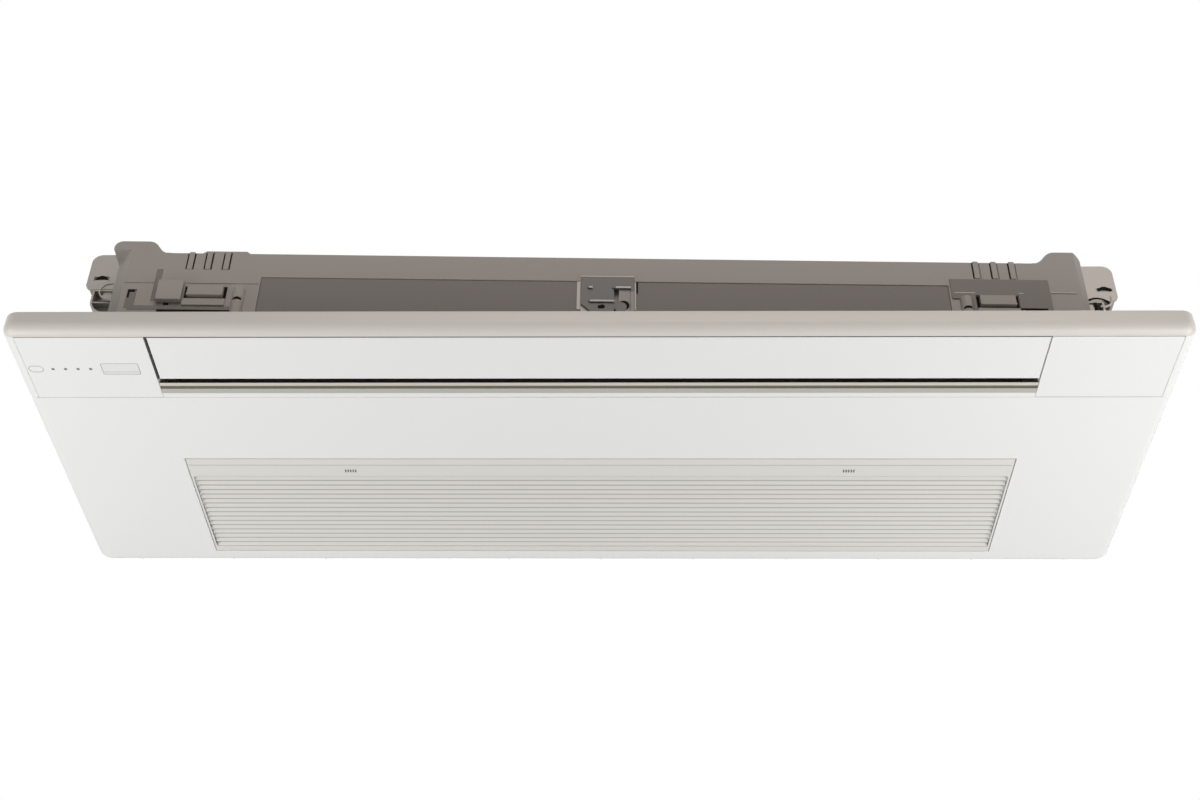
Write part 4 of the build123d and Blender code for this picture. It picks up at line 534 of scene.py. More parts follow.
def cap_shape(tree, given):
    """The sloped top of a screw head, with a cross cut through it."""
    radius, height = given["Radius"], given["Height"]
    cap = tree.nodes.new("GeometryNodeMeshCone")
    cap.inputs["Vertices"].default_value = ROUND_SIDES
    feed(tree, cap.inputs["Radius Bottom"], radius)
    feed(tree, cap.inputs["Radius Top"], math_node(tree, "MULTIPLY", radius, CAP_TOP))
    feed(tree, cap.inputs["Depth"], height)
    cut = tree.nodes.new("GeometryNodeMeshBoolean")
    cut.operation = "DIFFERENCE"
    feed(tree, cut.inputs["Mesh 1"], cap.outputs["Mesh"])
    for ways in (("X", "Y"), ("Y", "X")):
        size = tree.nodes.new("ShaderNodeCombineXYZ")
        for way, share in zip(ways, CAP_CROSS):
            feed(tree, size.inputs[way], math_node(tree, "MULTIPLY", radius, share))
        feed(tree, size.inputs["Z"], math_node(tree, "MULTIPLY", height, CAP_CUT))
        bar = tree.nodes.new("GeometryNodeMeshCube")
        feed(tree, bar.inputs["Size"], size.outputs["Vector"])
        feed(tree, cut.inputs["Mesh 2"], bar.outputs["Mesh"])
    return cut.outputs["Mesh"]


GROWTHS = {  # the shape, and its own inputs
    "boxes": (box_shape, [("Size", "NodeSocketVector", (0.01, 0.01, 0.01))]),
    "beads": (bead_shape, [("Size", "NodeSocketVector", (0.1, 0.01, 0.002))]),
    "rings": (ring_shape, [("Radius", "NodeSocketFloat", 0.01),
                           ("Wire", "NodeSocketFloat", 0.0004)]),
    "screw_caps": (cap_shape, [("Radius", "NodeSocketFloat", 0.004),
                               ("Height", "NodeSocketFloat", 0.0008)]),
}


def growth_tree(kind):
    """A tree that stands one shape on every point of its carrier, turned as the point says."""
    tree = bpy.data.node_groups.get(kind)
    if tree:
        return tree
    shape, inputs = GROWTHS[kind]
    tree = bpy.data.node_groups.new(kind, "GeometryNodeTree")
    socket = tree.interface.new_socket
    socket("Points", in_out="INPUT", socket_type="NodeSocketGeometry")
    for label, form, default in inputs:
        socket(label, in_out="INPUT", socket_type=form).default_value = default
    socket("Material", in_out="INPUT", socket_type="NodeSocketMaterial")
    socket("Geometry", in_out="OUTPUT", socket_type="NodeSocketGeometry")
    given = tree.nodes.new("NodeGroupInput").outputs
    result = tree.nodes.new("NodeGroupOutput").inputs
    turn = tree.nodes.new("GeometryNodeInputNamedAttribute")
    turn.data_type = "FLOAT_VECTOR"
    turn.inputs["Name"].default_value = "turn"
    euler = tree.nodes.new("FunctionNodeEulerToRotation")
    stand = tree.nodes.new("GeometryNodeInstanceOnPoints")
    real = tree.nodes.new("GeometryNodeRealizeInstances")
    coat = tree.nodes.new("GeometryNodeSetMaterial")
    feed(tree, euler.inputs["Euler"], turn.outputs["Attribute"])
    feed(tree, stand.inputs["Rotation"], euler.outputs["Rotation"])
    feed(tree, stand.inputs["Points"], given["Points"])
    feed(tree, stand.inputs["Instance"], shape(tree, given))
    feed(tree, real.inputs["Geometry"], stand.outputs["Instances"])
    feed(tree, coat.inputs["Geometry"], real.outputs["Geometry"])
    feed(tree, coat.inputs["Material"], given["Material"])
    feed(tree, result["Geometry"], coat.outputs["Geometry"])
    return tree


def grown(name, kind, points, slot, body="unit", turns=None, coat=None, **values):
    """A piece of like shapes, one on each point."""
    seed = bpy.data.meshes.new(name + "_points")
    seed.from_pydata(points, [], [])
    turn = seed.attributes.new("turn", "FLOAT_VECTOR", "POINT")
    for item, value in zip(turn.data, turns or [(0, 0, 0)] * len(points)):
        item.vector = value
    carrier = linked(name + "_carrier", seed)
    modifier = carrier.modifiers.new("growth", "NODES")
    modifier.node_group = growth_tree(kind)
    sockets = {item.name: item.identifier for item in modifier.node_group.interface.items_tree
               if item.in_out == "INPUT"}
    for label, value in values.items():
        modifier[sockets[label]] = value
    modifier[sockets["Material"]] = finish_named(coat or slot)
    return placed(name, plain_mesh(name, carrier), body)


def in_line(start, step, count):
    """Points at even steps."""
    return [start + i * step for i in range(count)]


# ---------------------------------------------------------------- one operator for each group
class PieceOperator:
    """Softens or finishes its nodes, then makes what they lack."""

    bl_options = {"REGISTER", "UNDO"}
    soft_nodes = ()
    sheet_nodes = ()
    plain_nodes = ()

    def execute(self, context):
        for node in self.soft_nodes:
            softened(node, sizes().edge)
        for node in self.sheet_nodes:
            softened(node, sizes().sheet_edge)
        for node in self.plain_nodes:
            finished(node)
        self.extras()
        return {"FINISHED"}

    def extras(self):
        pass


RIM_EDGE = -0.20005  # the panel's front rim lies nearer than this
OUTLET_END = 455.9
COVERS = ((-587.5, -456.4), (456.4, 587.5))
COVER_LINES = ((-200.15, -199.7), (-103.45, -102.85))  # the groove and the parting line
OUTLET_TRIM = (  # piece, slot, finish, and slabs from the panel's face: x, y and z, from and to
    # painted shadow: black slabs in the rim's groove and in the gap at the vane's left end
    ("outlet_gap_shadows", "black_plastic", None, [(-455.8, 455.8, -200.5, -199.15, -0.06, 3.0),
                                             (-456.25, -454.3, -198.9, -133.0, 0.3, 6.2)]),
    ("outlet_trim", "outlet_beige", None, [(-OUTLET_END, OUTLET_END, -126.6, -121.8, 0.4, 0.85)]),
    # painted shade: the inner face of the panel's opening, drawn flat in a darkened beige
    ("outlet_trim_far", "outlet_beige", "outlet_beige_in_shade",
     [(-OUTLET_END, OUTLET_END, -117.7, -110.2, -0.12, 0.5)]),
    # painted shadow in the gap between the outlet frame and the panel
    ("outlet_trim_joint_shadow", "outlet_beige", "joint_shadow_grey",
     [(-OUTLET_END, OUTLET_END, -123.0, -113.0, 0.83, 2.2),
      (-OUTLET_END, OUTLET_END, -117.0, -113.0, 0.48, 0.85)]),
    # painted shadow along the covers' groove and parting line
    ("cover_groove_shadows", "black_plastic", "groove_shadow_grey",
     [(*cover, *line, 0.1, 1.5) for cover in COVERS for line in COVER_LINES]),
)


class CASSETTE_OT_panel(PieceOperator, Operator):
    """Makes the panel frame, its side covers and the vane"""

    bl_idname = "cassette.panel"
    bl_label = "Panel"
    soft_nodes = ("side_cover_right", "vane")
    plain_nodes = ("side_cover_left",)

    def extras(self):
        """The frame with its front rim in a darker white that paints its shade, painted shadow in
        the gaps round the vane, and the trim.
        """
        panel = softened("panel_frame", sizes().edge)
        panel.data.materials.append(finish_named("rim_shade_white"))
        for face in panel.data.polygons:
            # the front rim's faces take the painted shade
            if face.center.y < RIM_EDGE:
                face.material_index = 1
        for name, slot, coat, rows in OUTLET_TRIM:
            slabs(name, FACE_SEAT, rows, slot, coat)


DISPLAY_Y = -150
LINE_DEPTH = (-0.06, 0.3)  # below and above the face
OUTLINED = ((-578, 7.16, 4.42, 4.42), (-490.4, 18.9, 8.2, 1.2))  # x, half sizes, corner radius
WINDOW_FOLD = (-508.6, -472.2, -145.4, -144.9)
LAMPS_X = (-560.5, -547.5, -534.5, -521.5)
LAMP_HALF, LAMP_LINE_HALF, LAMP_LINE_CORNER = 0.9, 1.55, 0.4
LAMP_CORNER_STEPS = 6


class CASSETTE_OT_controls(PieceOperator, Operator):
    """Makes the button, the lamps and the receiver window"""

    bl_idname = "cassette.controls"
    bl_label = "Controls"
    plain_nodes = ("emergency_button", "receiver_window", "indicator_lenses", "display_board",
                   "button_spring")

    def extras(self):
        """Painted shadow lines round the button, the lamps and the window, and along the window's
        fold, at the cover's face.
        """
        line = sizes().line / MM
        shape = bmesh.new()
        for x, half_x, half_y, radius in OUTLINED:
            inner = rounded_outline(x, DISPLAY_Y, half_x, half_y, radius)
            outer = rounded_outline(x, DISPLAY_Y, half_x + line, half_y + line, radius + line)
            ring(shape, FACE_SEAT, outer, inner, *LINE_DEPTH)
        slab(shape, FACE_SEAT, *WINDOW_FOLD, *LINE_DEPTH)
        for x in LAMPS_X:
            inner = rounded_outline(x, DISPLAY_Y, LAMP_HALF, LAMP_HALF, LAMP_HALF,
                                    LAMP_CORNER_STEPS)
            outer = rounded_outline(x, DISPLAY_Y, LAMP_LINE_HALF, LAMP_LINE_HALF,
                                    LAMP_LINE_CORNER, LAMP_CORNER_STEPS)
            ring(shape, FACE_SEAT, outer, inner, *LINE_DEPTH)
        made("control_gap_shadows", shape, "black_plastic", "gap_shadow_grey")


# Millimetres from the panel's face.
LATCHES_X = (-276, 276)
MARK_STEP, MARK_HALF, MARK_COUNT = 2.8, 0.68, 5
MARK_SPAN = (25.5, 30.5, 0.03, 0.4)  # y and z, from and to
BAND_LINE = (-454.5, 454.5, 17.04, 17.56, 0.12, 0.5)
SLATS_NEAR, SLATS_FAR, SLAT_COUNT = 38.0, 178.5, 16
SLAT_DEPTH, SLAT_LEAN, SLAT_LIFT = 8.5, 38.0, 0.4
# painted shadow lines on the slats
SHADOW_LINE_RISE, SHADOW_LINE_PROUD = 5.3, 0.05  # up the slat from its foot, and off its face
SHADOW_LINE_SIZE = (0.903, 0.0020, 0.00016)
FILTERS_X = ((-436.0, -1.0), (1.0, 436.0))
FILTER_NEAR, FILTER_FAR, FILTER_LOW, FILTER_HIGH = 38.0, 170.5, 12.02, 14.4
FILTER_RAIL, FILTER_BAR_HALF, FILTER_BARS = 6, 1, 5
FILTER_CROSS_BARS_Y = (81.0, 127.0)
CROSS_BAR_INSET = 0.3
NET_INSET, NET_HEIGHT, THREAD = 5, 13.0, 0.0004


class CASSETTE_OT_grille(PieceOperator, Operator):
    """Makes the intake grille, its filters and its latches"""

    bl_idname = "cassette.grille"
    bl_label = "Intake grille"
    soft_nodes = ("intake_grille",)
    plain_nodes = ("latch_housings", "latch_plunger_left", "latch_plunger_right")

    def extras(self):
        marks = [latch + (i - MARK_COUNT // 2) * MARK_STEP
                 for latch in LATCHES_X for i in range(MARK_COUNT)]
        slabs("latch_marks", FACE_SEAT, [(x - MARK_HALF, x + MARK_HALF, *MARK_SPAN) for x in marks],
              "black_plastic", "mark_grey", "grille")
        slabs("band_line", FACE_SEAT, [BAND_LINE], "black_plastic", "line_grey", "grille")
        self.dust()
        self.filters()

    def dust(self):
        """A painted shadow line along every slat, where the next slat shades it."""
        lean = radians(SLAT_LEAN)
        rise = Vector((0, -cos(lean), sin(lean)))
        below = Vector((0, -sin(lean), -cos(lean)))
        pitch = (SLATS_FAR - SLATS_NEAR) / SLAT_COUNT
        feet = [spot(0, SLATS_NEAR + (i + 0.5) * pitch + SLAT_DEPTH * cos(lean) / 2, SLAT_LIFT)
                for i in range(SLAT_COUNT)]
        lines = [FACE_SEAT @ (foot + (rise * SHADOW_LINE_RISE + below * SHADOW_LINE_PROUD) * MM)
                 for foot in feet]
        grown("slat_shadow_lines", "boxes", lines, "grille_white", "grille",
              turns=[(-lean, 0, 0)] * SLAT_COUNT, coat="slat_shadow_grey", Size=SHADOW_LINE_SIZE)

    def filters(self):
        """The two filters' rails and bars, and the net of threads between them."""
        near, far, low, high = FILTER_NEAR, FILTER_FAR, FILTER_LOW, FILTER_HIGH
        inner = near + FILTER_RAIL, far - FILTER_RAIL
        rows = []
        for x0, x1 in FILTERS_X:
            step = (x1 - x0) / (FILTER_BARS + 1)
            rows += [(x0, x1, near, inner[0], low, high), (x0, x1, inner[1], far, low, high)]
            rows += [(x, x + FILTER_RAIL, *inner, low, high) for x in (x0, x1 - FILTER_RAIL)]
            rows += [(x - FILTER_BAR_HALF, x + FILTER_BAR_HALF, *inner, low, high)
                     for x in in_line(x0 + step, step, FILTER_BARS)]
            rows += [(x0 + FILTER_RAIL, x1 - FILTER_RAIL, y - FILTER_BAR_HALF, y + FILTER_BAR_HALF,
                      low + CROSS_BAR_INSET, high - CROSS_BAR_INSET) for y in FILTER_CROSS_BARS_Y]
        slabs("filter_frames", FACE_SEAT, rows, "mesh_grey", body="grille",
              nodes=("air_filters",))
        pitch = sizes().thread_pitch
        long = (FILTERS_X[0][1] - FILTERS_X[0][0] - 2 * NET_INSET) * MM
        wide = (far - near - 2 * NET_INSET) * MM
        middles = [(x0 + x1) / 2 * MM for x0, x1 in FILTERS_X]
        middle, height = (near + far) / 2 * MM, cad_low.z + NET_HEIGHT * MM
        count = int(long / pitch)
        long_ways = [Vector((x, y, height)) for x in middles
                     for y in in_line((near + NET_INSET) * MM, pitch, int(wide / pitch) + 1)]
        cross_ways = [Vector((x + step, middle, height + THREAD)) for x in middles
                      for step in in_line(-count * pitch / 2, pitch, count + 1)]
        grown("filter_threads_long", "boxes", long_ways, "mesh_grey", "grille",
              Size=(long, THREAD, THREAD))
        grown("filter_threads_cross", "boxes", cross_ways, "mesh_grey", "grille",
              Size=(THREAD, wide, THREAD))


class CASSETTE_OT_outlet(PieceOperator, Operator):
    """Makes the outlet frame, the louvers and what turns them"""

    bl_idname = "cassette.outlet"
    bl_label = "Outlet"
    soft_nodes = ("outlet_frame",)
    plain_nodes = ("vane_bushes", "vane_motor", "louver_rail", "link_bar_left", "link_bar_right",
                   "louver_motors",
                   *(f"louver_{side}_{i}" for side in ("left", "right") for i in range(1, 5)))


# Trim on the front moulding: x, y and z, each from and to, in millimetres from WALL_SEAT.
CATCHES_X = (-406.5, 415.9)
# the catches' slots, filled with painted shadow
CATCH_GAPS = ((-21.9, -18.6, 54.9), (18.6, 21.9, 54.9), (-18.6, 18.6, 39.4))  # x and the top
CATCH_GAP_DEPTH, CATCH_GAP_FOOT = (1.6, 2.4), 37.3
LEFT_RIBS, RIGHT_RIBS = (-428.6, -409.6, -390.6), (399.1, 418.1, 437.1)
# black lines of painted shadow in the ribs' grooves
LEFT_RIB_LINES, RIGHT_RIB_LINES = ((-4.15, -3.25), (3.1, 4.15)), ((-4.15, -2.85),)
RIB_SPAN = (-0.15, 1.45, 79.6, 102.3)
# painted shadow: black slabs in gaps and slots and along the wall's foot
WALL_GAP_SHADOWS = [
    (-453.0, -376.5, -0.75, -0.05, 14.0, 22.3),  # along the foot at the left catch
    (406.6, 466.0, -1.8, -1.4, 28.0, 37.3),  # along the foot at the right catch
    (-447.5, -442.0, -0.6, -0.05, 28.2, 31.6),  # under the left box
    (-487.2, -480.0, 0.3, 1.0, 46.8, 50.1),  # top of the slot beside it
    (-487.2, -485.0, 0.3, 1.0, 39.0, 46.8),  # side of that slot
    (40.8, 42.6, 0.2, 0.9, 53.5, 68.9),  # right of the centre bracket
]
# painted shade, in the dark foam's finish, in slots and under the box and the foot
WALL_SHADES = [
    (-484.5, -379.0, -0.3, -0.02, 21.8, 27.8),  # along the left foot
    (-454.8, -430.2, -0.42, -0.02, 21.8, 32.0),  # under the left box
    (-461.6, -455.7, 0.35, 1.55, 34.2, 78.5),  # left of the box
    (-487.4, -478.3, 0.5, 1.55, 24.2, 50.2),  # in the slot beside it
]
# painted highlights on lit ledges, edges and the right seam
WALL_PAINTED_HIGHLIGHTS = [
    (19.6, 35.2, -3.75, -3.42, 56.8, 59.2),  # the centre bracket's ledges
    (-8.4, -4.4, -3.75, -3.42, 56.8, 59.2),
    (-7.2, 18.0, -3.75, -3.42, 37.8, 40.2),
    (-16.9, -6.6, 0.2, 0.9, 21.0, 37.0),  # behind its cut corner
    (-16.6, 38.6, -2.3, -1.95, 73.7, 75.1),  # its top edge
    (-21.0, -17.1, 0.2, 0.9, 30.0, 69.0),  # left and right of it
    (39.0, 40.6, 0.2, 0.9, 30.0, 69.0),
    (472.0, 499.5, -0.3, -0.02, 60.3, 61.2),  # the seam at the right
    (372.0, 393.5, -1.7, -1.35, 57.6, 58.6),  # left and right of the right catch
    (438.4, 443.8, -1.7, -1.35, 57.6, 58.6),
]
BRACKET_LINING = [
    (22.6, 34.7, -1.0, 3.9, 22.0, 58.5),  # behind the centre bracket's notch
    # painted highlight: a casing-grey strip over the dark plate's right edge
    (34.8, 38.7, -2.3, -1.95, 22.0, 53.0),  # before its right edge
]
BRACKET_DRUM = (24.3, -1.6, 3.95, 32.5, 6.6)  # x, y from and to, z, radius
# painted shadow in the centre bracket's holes
BRACKET_SHADOWS = ((27.6, -1.3, 3.9, 35.0, 6.2), (5.6, -2.3, -0.1, 32.2, 2.6))
BOSSES_X = (-371.3, 383.1)
BOSS_HOLE = dict(radius=4.3, depth=3.4)
BOSS_HOLE_Y, BOSS_HOLE_Z = -2.65, 34.1

# Trim at the front hangers and on the panel's top, in millimetres from CEILING_SEAT.
PANEL_GASKET = (-462, 472, -208.0, -204.0, -0.02, 2.0)
# painted shadow in the arches under the hangers' curled lips
HANGER_ARCHES = ((-535.5, 100.5, -147.86), (545.5, 101.5, -126.94))  # x, z, the plate's face
ARCH = dict(half_length=9.0, rise=7.4, depth=3.6)
ARCH_PROUD, ARCH_SUNK = 0.2, 1.0
# painted shadow in the hollow of the right hanger
HANGER_HOLLOW_SHADOW = ((535.0, 76.0, 17.0, 14.6, 35, 145), -127.1, -126.0)  # an arc, y from and to
HANGER_SLOTS = ((531.6, 534.0, -127.1, -126.0, 70.0, 86.0),
                (-516.0, -512.4, -148.1, -147.2, 83.0, 90.0))
# bent hooks, pale as a painted highlight
HANGER_HOOKS = (((-523.5, 85.5, 11.6, 10.2, 80, 275), -149.0, -147.5),
                ((541.0, 90.0, 11.0, 9.4, -110, 20), -128.0, -126.5))


class CASSETTE_OT_front(PieceOperator, Operator):
    """Makes the front moulding, its insulation, brackets, catches and skirts"""

    bl_idname = "cassette.front"
    bl_label = "Front moulding"
    # the front insulation's dark grey also paints the recess's shade
    soft_nodes = ("front_moulding", "front_insulation", "panel_catches")

    def extras(self):
        # painted shade: the centre bracket in the recess's dark grey
        softened("centre_bracket", sizes().edge, "bracket_recess_shade")
        for node in ("end_skirt_left", "end_skirt_right", "hanger_brackets"):
            softened(node, sizes().edge, "hanger_steel")
        slabs("panel_gasket", CEILING_SEAT, [PANEL_GASKET], "black_plastic")
        self.wall_lines()
        self.bracket()
        self.hangers()

    def wall_lines(self):
        """Painted shadow in the wall's gaps and grooves, painted shade in its hollows, and painted
        highlights on its ledges and edges.
        """
        gaps = [(catch + x0, catch + x1, *CATCH_GAP_DEPTH, CATCH_GAP_FOOT, top)
                for catch in CATCHES_X for x0, x1, top in CATCH_GAPS]
        for ribs, lines in ((RIGHT_RIBS, RIGHT_RIB_LINES), (LEFT_RIBS, LEFT_RIB_LINES)):
            gaps += [(rib + x0, rib + x1, *RIB_SPAN) for rib in ribs for x0, x1 in lines]
        slabs("front_gap_shadows", WALL_SEAT, gaps + WALL_GAP_SHADOWS, "black_plastic", "shadow_black")
        slabs("front_shades", WALL_SEAT, WALL_SHADES, "foam_dark")
        slabs("front_painted_highlights", WALL_SEAT, WALL_PAINTED_HIGHLIGHTS, "casing_grey", "lit_edge_grey")

    def bracket(self):
        """A casing-grey fill in the centre bracket's notch, a painted highlight on its right edge,
        its drum, and painted shadow in its holes and in the bosses' holes.
        """
        slabs("bracket_lining", WALL_SEAT, BRACKET_LINING, "casing_grey")
        drum, shadows, holes = bmesh.new(), bmesh.new(), bmesh.new()
        disc(drum, WALL_SEAT, *BRACKET_DRUM)
        made("bracket_drum", drum, "hanger_steel", "bracket_recess_shade")
        for row in BRACKET_SHADOWS:
            disc(shadows, WALL_SEAT, *row)
        made("bracket_shadows", shadows, "black_plastic", "shadow_black")
        # painted shadow: black plugs in the bosses' holes
        for x in BOSSES_X:
            place = WALL_SEAT @ Matrix.Translation(spot(x, BOSS_HOLE_Y, BOSS_HOLE_Z))
            pin(holes, place, **BOSS_HOLE)
        made("boss_hole_shadows", holes, "black_plastic", "shadow_black")

    def hangers(self):
        """Painted shadow in the hangers' arches, hollows and slots, and their bent hooks, pale as a
        painted highlight.
        """
        shadows, hooks = bmesh.new(), bmesh.new()
        for x, z, face in HANGER_ARCHES:
            prism(shadows, CEILING_SEAT, crescent(x, z, **ARCH), face - ARCH_PROUD,
                  face + ARCH_SUNK)
        outline, *depth = HANGER_HOLLOW_SHADOW
        prism(shadows, CEILING_SEAT, arc(*outline), *depth)
        for row in HANGER_SLOTS:
            slab(shadows, CEILING_SEAT, *row)
        made("hanger_shadows", shadows, "black_plastic", "shadow_black")
        for outline, *depth in HANGER_HOOKS:
            prism(hooks, CEILING_SEAT, arc(*outline), *depth)
        made("hanger_hooks", hooks, "hanger_steel", "lit_edge_grey")


HEAD_AREA = 4.6e-5  # square metres; a screw head's top is 5.0e-5, its underside less
HEAD_CORNERS = 8  # a head's top has more corners than this
TOP_BEAD, TOP_FACE = (0.085, 0.012, 0.0024), 0.07  # a bead's size, and its plate's height
TOP_BEADS_X, TOP_BEADS_Y = (-0.42, 0.12, 8), (-0.03, 0.10)  # along X: first, step and count
REAR_BEAD, REAR_FACE = (0.012, 0.0024, 0.11), 0.18
REAR_BEADS_X, REAR_BEADS_Z = (-0.45, 0.1, 10), -0.012


class CASSETTE_OT_casing(PieceOperator, Operator):
    """Makes the casing's plates and inner walls"""

    bl_idname = "cassette.casing"
    bl_label = "Casing"
    sheet_nodes = ("top_plate", "rear_plate", "end_plate_left", "end_plate_right", "casing_plate",
                   "partition_left", "partition_right", "control_box", "control_lid")
    plain_nodes = ("screws", "scroll_liner", "stabiliser", "circuit_board", "cable_gland")

    def extras(self):
        """Cross recesses on the screw heads, and beads pressed into the top and the rear."""
        heads = bmesh.new()
        heads.from_mesh(merged("screws"))
        tops, turns = [], []
        for face in heads.faces:
            if len(face.verts) > HEAD_CORNERS and face.calc_area() > HEAD_AREA:
                tops.append(face.calc_center_median())
                turns.append(face.normal.to_track_quat("Z", "Y").to_euler())
        heads.free()
        grown("screw_caps", "screw_caps", tops, "screw_steel", turns=turns)
        across = [Vector((x, y, TOP_FACE)) for x in in_line(*TOP_BEADS_X) for y in TOP_BEADS_Y]
        grown("top_beads", "beads", across, "steel_sheet", Size=TOP_BEAD)
        upright = [Vector((x, REAR_FACE, REAR_BEADS_Z)) for x in in_line(*REAR_BEADS_X)]
        grown("rear_beads", "beads", upright, "steel_sheet", Size=REAR_BEAD)


class CASSETTE_OT_fan(PieceOperator, Operator):
    """Makes the fan, its axles, motor and bearing"""

    bl_idname = "cassette.fan"
    bl_label = "Fan"
    plain_nodes = ("fan_rotor", "fan_axles", "fan_motor", "fan_bearing")


COIL_LEAN = 37.5  # degrees from level
FIN_THICKNESS, FIN_INSET, FIN_ROW_INSET = 0.00014, 0.0008, 0.004
THREAD_STEP, BARB_STEP = 0.0012, 0.004
THREAD_REACH = 0.013
UNIONS = {  # mount: the node that carries it, and the step of its rings
    "gas_union": ("refrigerant_pipes", THREAD_STEP),
    "liquid_union": ("refrigerant_pipes", THREAD_STEP),
    "drain_connection": ("drain_spigot", BARB_STEP),
}


class CASSETTE_OT_coil(PieceOperator, Operator):
    """Makes the coil, its pipes and the drain pan"""

    bl_idname = "cassette.coil"
    bl_label = "Coil and drain"
    sheet_nodes = ("flare_nuts",)
    plain_nodes = ("coil_fins", "coil_tubes", "refrigerant_pipes", "drain_pan", "drain_spigot")

    def extras(self):
        self.fine_fins()
        self.union_rings()

    def fine_fins(self):
        """Fins at their real pitch, between the model's own."""
        lean = radians(COIL_LEAN)
        sideways = Vector((1, 0, 0))
        along, across = Vector((0, cos(lean), sin(lean))), Vector((0, -sin(lean), cos(lean)))
        corners = [vertex.co for vertex in frame["nodes"]["coil_fins"].data.vertices]
        reaches = [[corner.dot(way) for corner in corners] for way in (sideways, along, across)]
        (x0, x1), (u0, u1), (v0, v1) = ((min(values), max(values)) for values in reaches)
        middle = along * (u0 + u1) / 2 + across * (v0 + v1) / 2
        pitch = sizes().fin_pitch
        count = int((x1 - x0 - FIN_ROW_INSET) / pitch)
        points = [middle + Vector((x, 0, 0))
                  for x in in_line((x0 + x1 - count * pitch) / 2, pitch, count + 1)]
        grown("coil_fine_fins", "boxes", points, "fin_aluminium",
              turns=[(lean, 0, 0)] * len(points),
              Size=(FIN_THICKNESS, u1 - u0 - FIN_INSET, v1 - v0 - FIN_INSET))

    def union_rings(self):
        """Rings for the unions' threads and the spigot's barbs."""
        for union, (node, step) in UNIONS.items():
            mount = mounts[union]
            reach = min(mount["dims"]["length_mm"] * MM, THREAD_REACH)
            back = Vector((-step, 0, 0))
            points = in_line(Vector(mount["pos_m"]) + back, back, int(reach / step))
            grown(union + "_rings", "rings", points, slot_of_node[node],
                  turns=[(0, pi / 2, 0)] * len(points),
                  Radius=mount["dims"]["r_mm"] * MM, Wire=step / 4)


# ---------------------------------------------------------------- stage
CAMERA_PLACE = Vector((0.03294, -1.47237, -1.22434))
CAMERA_YAW, CAMERA_PITCH, CAMERA_ROLL = radians(-1.2592), radians(38.543), radians(0.7599)
SENSOR_WIDTH = 36.0
FLOOR_HALF = 9.0
AMBIENT = 0.147
FLOOR_GLOW = 0.62
LAMPS = (  # name, place, target, size, power, tint
    ("light_below_left", (-1.5, -0.3, -1.2), (-0.45, 0, -0.12), (1.2, 1.4), 19.6, (1, 1, 1)),
    ("light_below_right", (1.5, -0.3, -1.2), (0.45, 0, -0.12), (1.2, 1.4), 22.8, (1, 1, 1)),
    ("light_front_high", (0.35, -2.2, 1.3), (0.1, -0.1, 0), (2.4, 1.2), 27.0, (1, 0.95, 0.89)),
    ("light_above", (0.6, 1.4, 2.4), (0, 0.1, 0), (2.6, 2.0), 30.0, (1, 1, 1)),
)


def camera_matrix():
    """The camera's place, and its turn from how far it looks aside, up and over."""
    ahead = Vector((sin(CAMERA_YAW) * cos(CAMERA_PITCH), cos(CAMERA_YAW) * cos(CAMERA_PITCH),
                    sin(CAMERA_PITCH)))
    level = Vector((cos(CAMERA_YAW), -sin(CAMERA_YAW), 0))
    upright = level.cross(ahead)
    right = cos(CAMERA_ROLL) * level + sin(CAMERA_ROLL) * upright
    up = -sin(CAMERA_ROLL) * level + cos(CAMERA_ROLL) * upright
    turn = Matrix((right, up, -ahead)).transposed()
    return Matrix.Translation(CAMERA_PLACE) @ turn.to_4x4()


def soft_light(name, place, target, size, power, tint):
    data = bpy.data.lights.new(name, "AREA")
    data.shape = "RECTANGLE"
    data.size, data.size_y = size
    data.energy = power
    data.color = tint
    lamp = linked(name, data)
    lamp.location = place
    lamp.rotation_mode = "QUATERNION"
    lamp.rotation_quaternion = (Vector(target) - Vector(place)).to_track_quat("-Z", "Y")
    lamp.visible_camera = False


def lit_by_rays(tree, seen_level, other_level):
    """One grey where the camera, a reflection or glass sees it, and another elsewhere."""
    rays = tree.nodes.new("ShaderNodeLightPath").outputs
    seen = math_node(tree, "MAXIMUM", rays["Is Camera Ray"], rays["Is Transmission Ray"])
    seen = math_node(tree, "MAXIMUM", seen, rays["Is Glossy Ray"])
    mix = tree.nodes.new("ShaderNodeMix")
    mix.data_type = "RGBA"
    feed(tree, mix.inputs["Factor"], seen)
    mix.inputs["A"].default_value = (*[other_level] * 3, 1)
    mix.inputs["B"].default_value = (*[seen_level] * 3, 1)
    return mix.outputs["Result"]


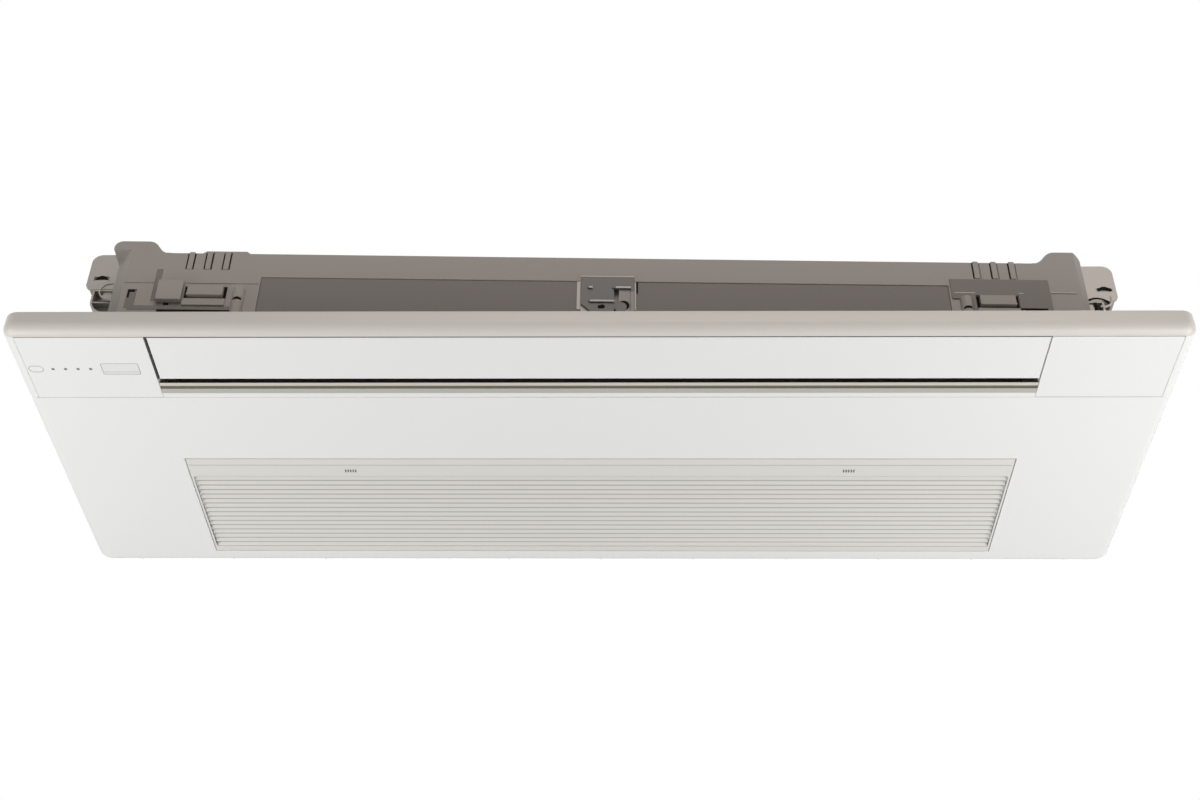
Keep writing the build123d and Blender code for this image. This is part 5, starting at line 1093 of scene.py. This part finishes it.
class CASSETTE_OT_stage(Operator):
    """Makes the floor, the lights and the camera"""

    bl_idname = "cassette.stage"
    bl_label = "Stage"
    bl_options = {"REGISTER", "UNDO"}

    def execute(self, context):
        scene = context.scene
        camera = linked("camera", bpy.data.cameras.new("camera"))
        camera.data.sensor_width = SENSOR_WIDTH
        camera.data.lens = sizes().lens / MM
        camera.matrix_world = camera_matrix()
        scene.camera = camera

        world = bpy.data.worlds.new("studio")
        scene.world = world
        world.use_nodes = True
        tree = world.node_tree
        feed(tree, tree.nodes["Background"].inputs["Color"], lit_by_rays(tree, 1.0, AMBIENT))

        shape = bmesh.new()
        middle = Matrix.Translation((0, 0, cad_low.z - sizes().floor_drop))
        bmesh.ops.create_grid(shape, x_segments=1, y_segments=1, size=FLOOR_HALF, matrix=middle)
        mesh = bpy.data.meshes.new("floor")
        shape.to_mesh(mesh)
        shape.free()
        floor = linked("floor", mesh)
        pale = finish_named("floor_pale")
        tree = pale.node_tree
        feed(tree, tree.nodes["Principled BSDF"].inputs["Emission Color"],
             lit_by_rays(tree, FLOOR_GLOW, 0.0))
        mesh.materials.append(pale)

        for row in LAMPS:
            soft_light(*row)
        scene.view_settings.view_transform = "Standard"
        return {"FINISHED"}


# ---------------------------------------------------------------- the add-on
STEPS = (CASSETTE_OT_stage, CASSETTE_OT_panel, CASSETTE_OT_controls, CASSETTE_OT_grille,
         CASSETTE_OT_outlet, CASSETTE_OT_front, CASSETTE_OT_casing, CASSETTE_OT_fan,
         CASSETTE_OT_coil)


class CASSETTE_PT_pieces(Panel):
    """Lists the cassette's pieces, colours and sizes"""

    bl_idname = "CASSETTE_PT_pieces"
    bl_label = "Ceiling cassette"
    bl_space_type = "VIEW_3D"
    bl_region_type = "UI"
    bl_category = "Cassette"

    def draw(self, context):
        for step in STEPS:
            self.layout.operator(step.bl_idname)
        for group in (context.scene.cassette_colours, context.scene.cassette_sizes):
            box = self.layout.box()
            for name in group.bl_rna.properties.keys():
                if name not in ("rna_type", "name"):
                    box.prop(group, name)


CLASSES = (CassetteColours, CassetteSizes, *STEPS, CASSETTE_PT_pieces)


def register():
    for item in CLASSES:
        bpy.utils.register_class(item)
    bpy.types.Scene.cassette_colours = PointerProperty(type=CassetteColours)
    bpy.types.Scene.cassette_sizes = PointerProperty(type=CassetteSizes)


def unregister():
    del bpy.types.Scene.cassette_sizes
    del bpy.types.Scene.cassette_colours
    for item in reversed(CLASSES):
        bpy.utils.unregister_class(item)


def main():
    register()
    for step in STEPS:
        group, name = step.bl_idname.split(".")
        getattr(getattr(bpy.ops, group), name)()


if __name__ == "__main__":
    main()
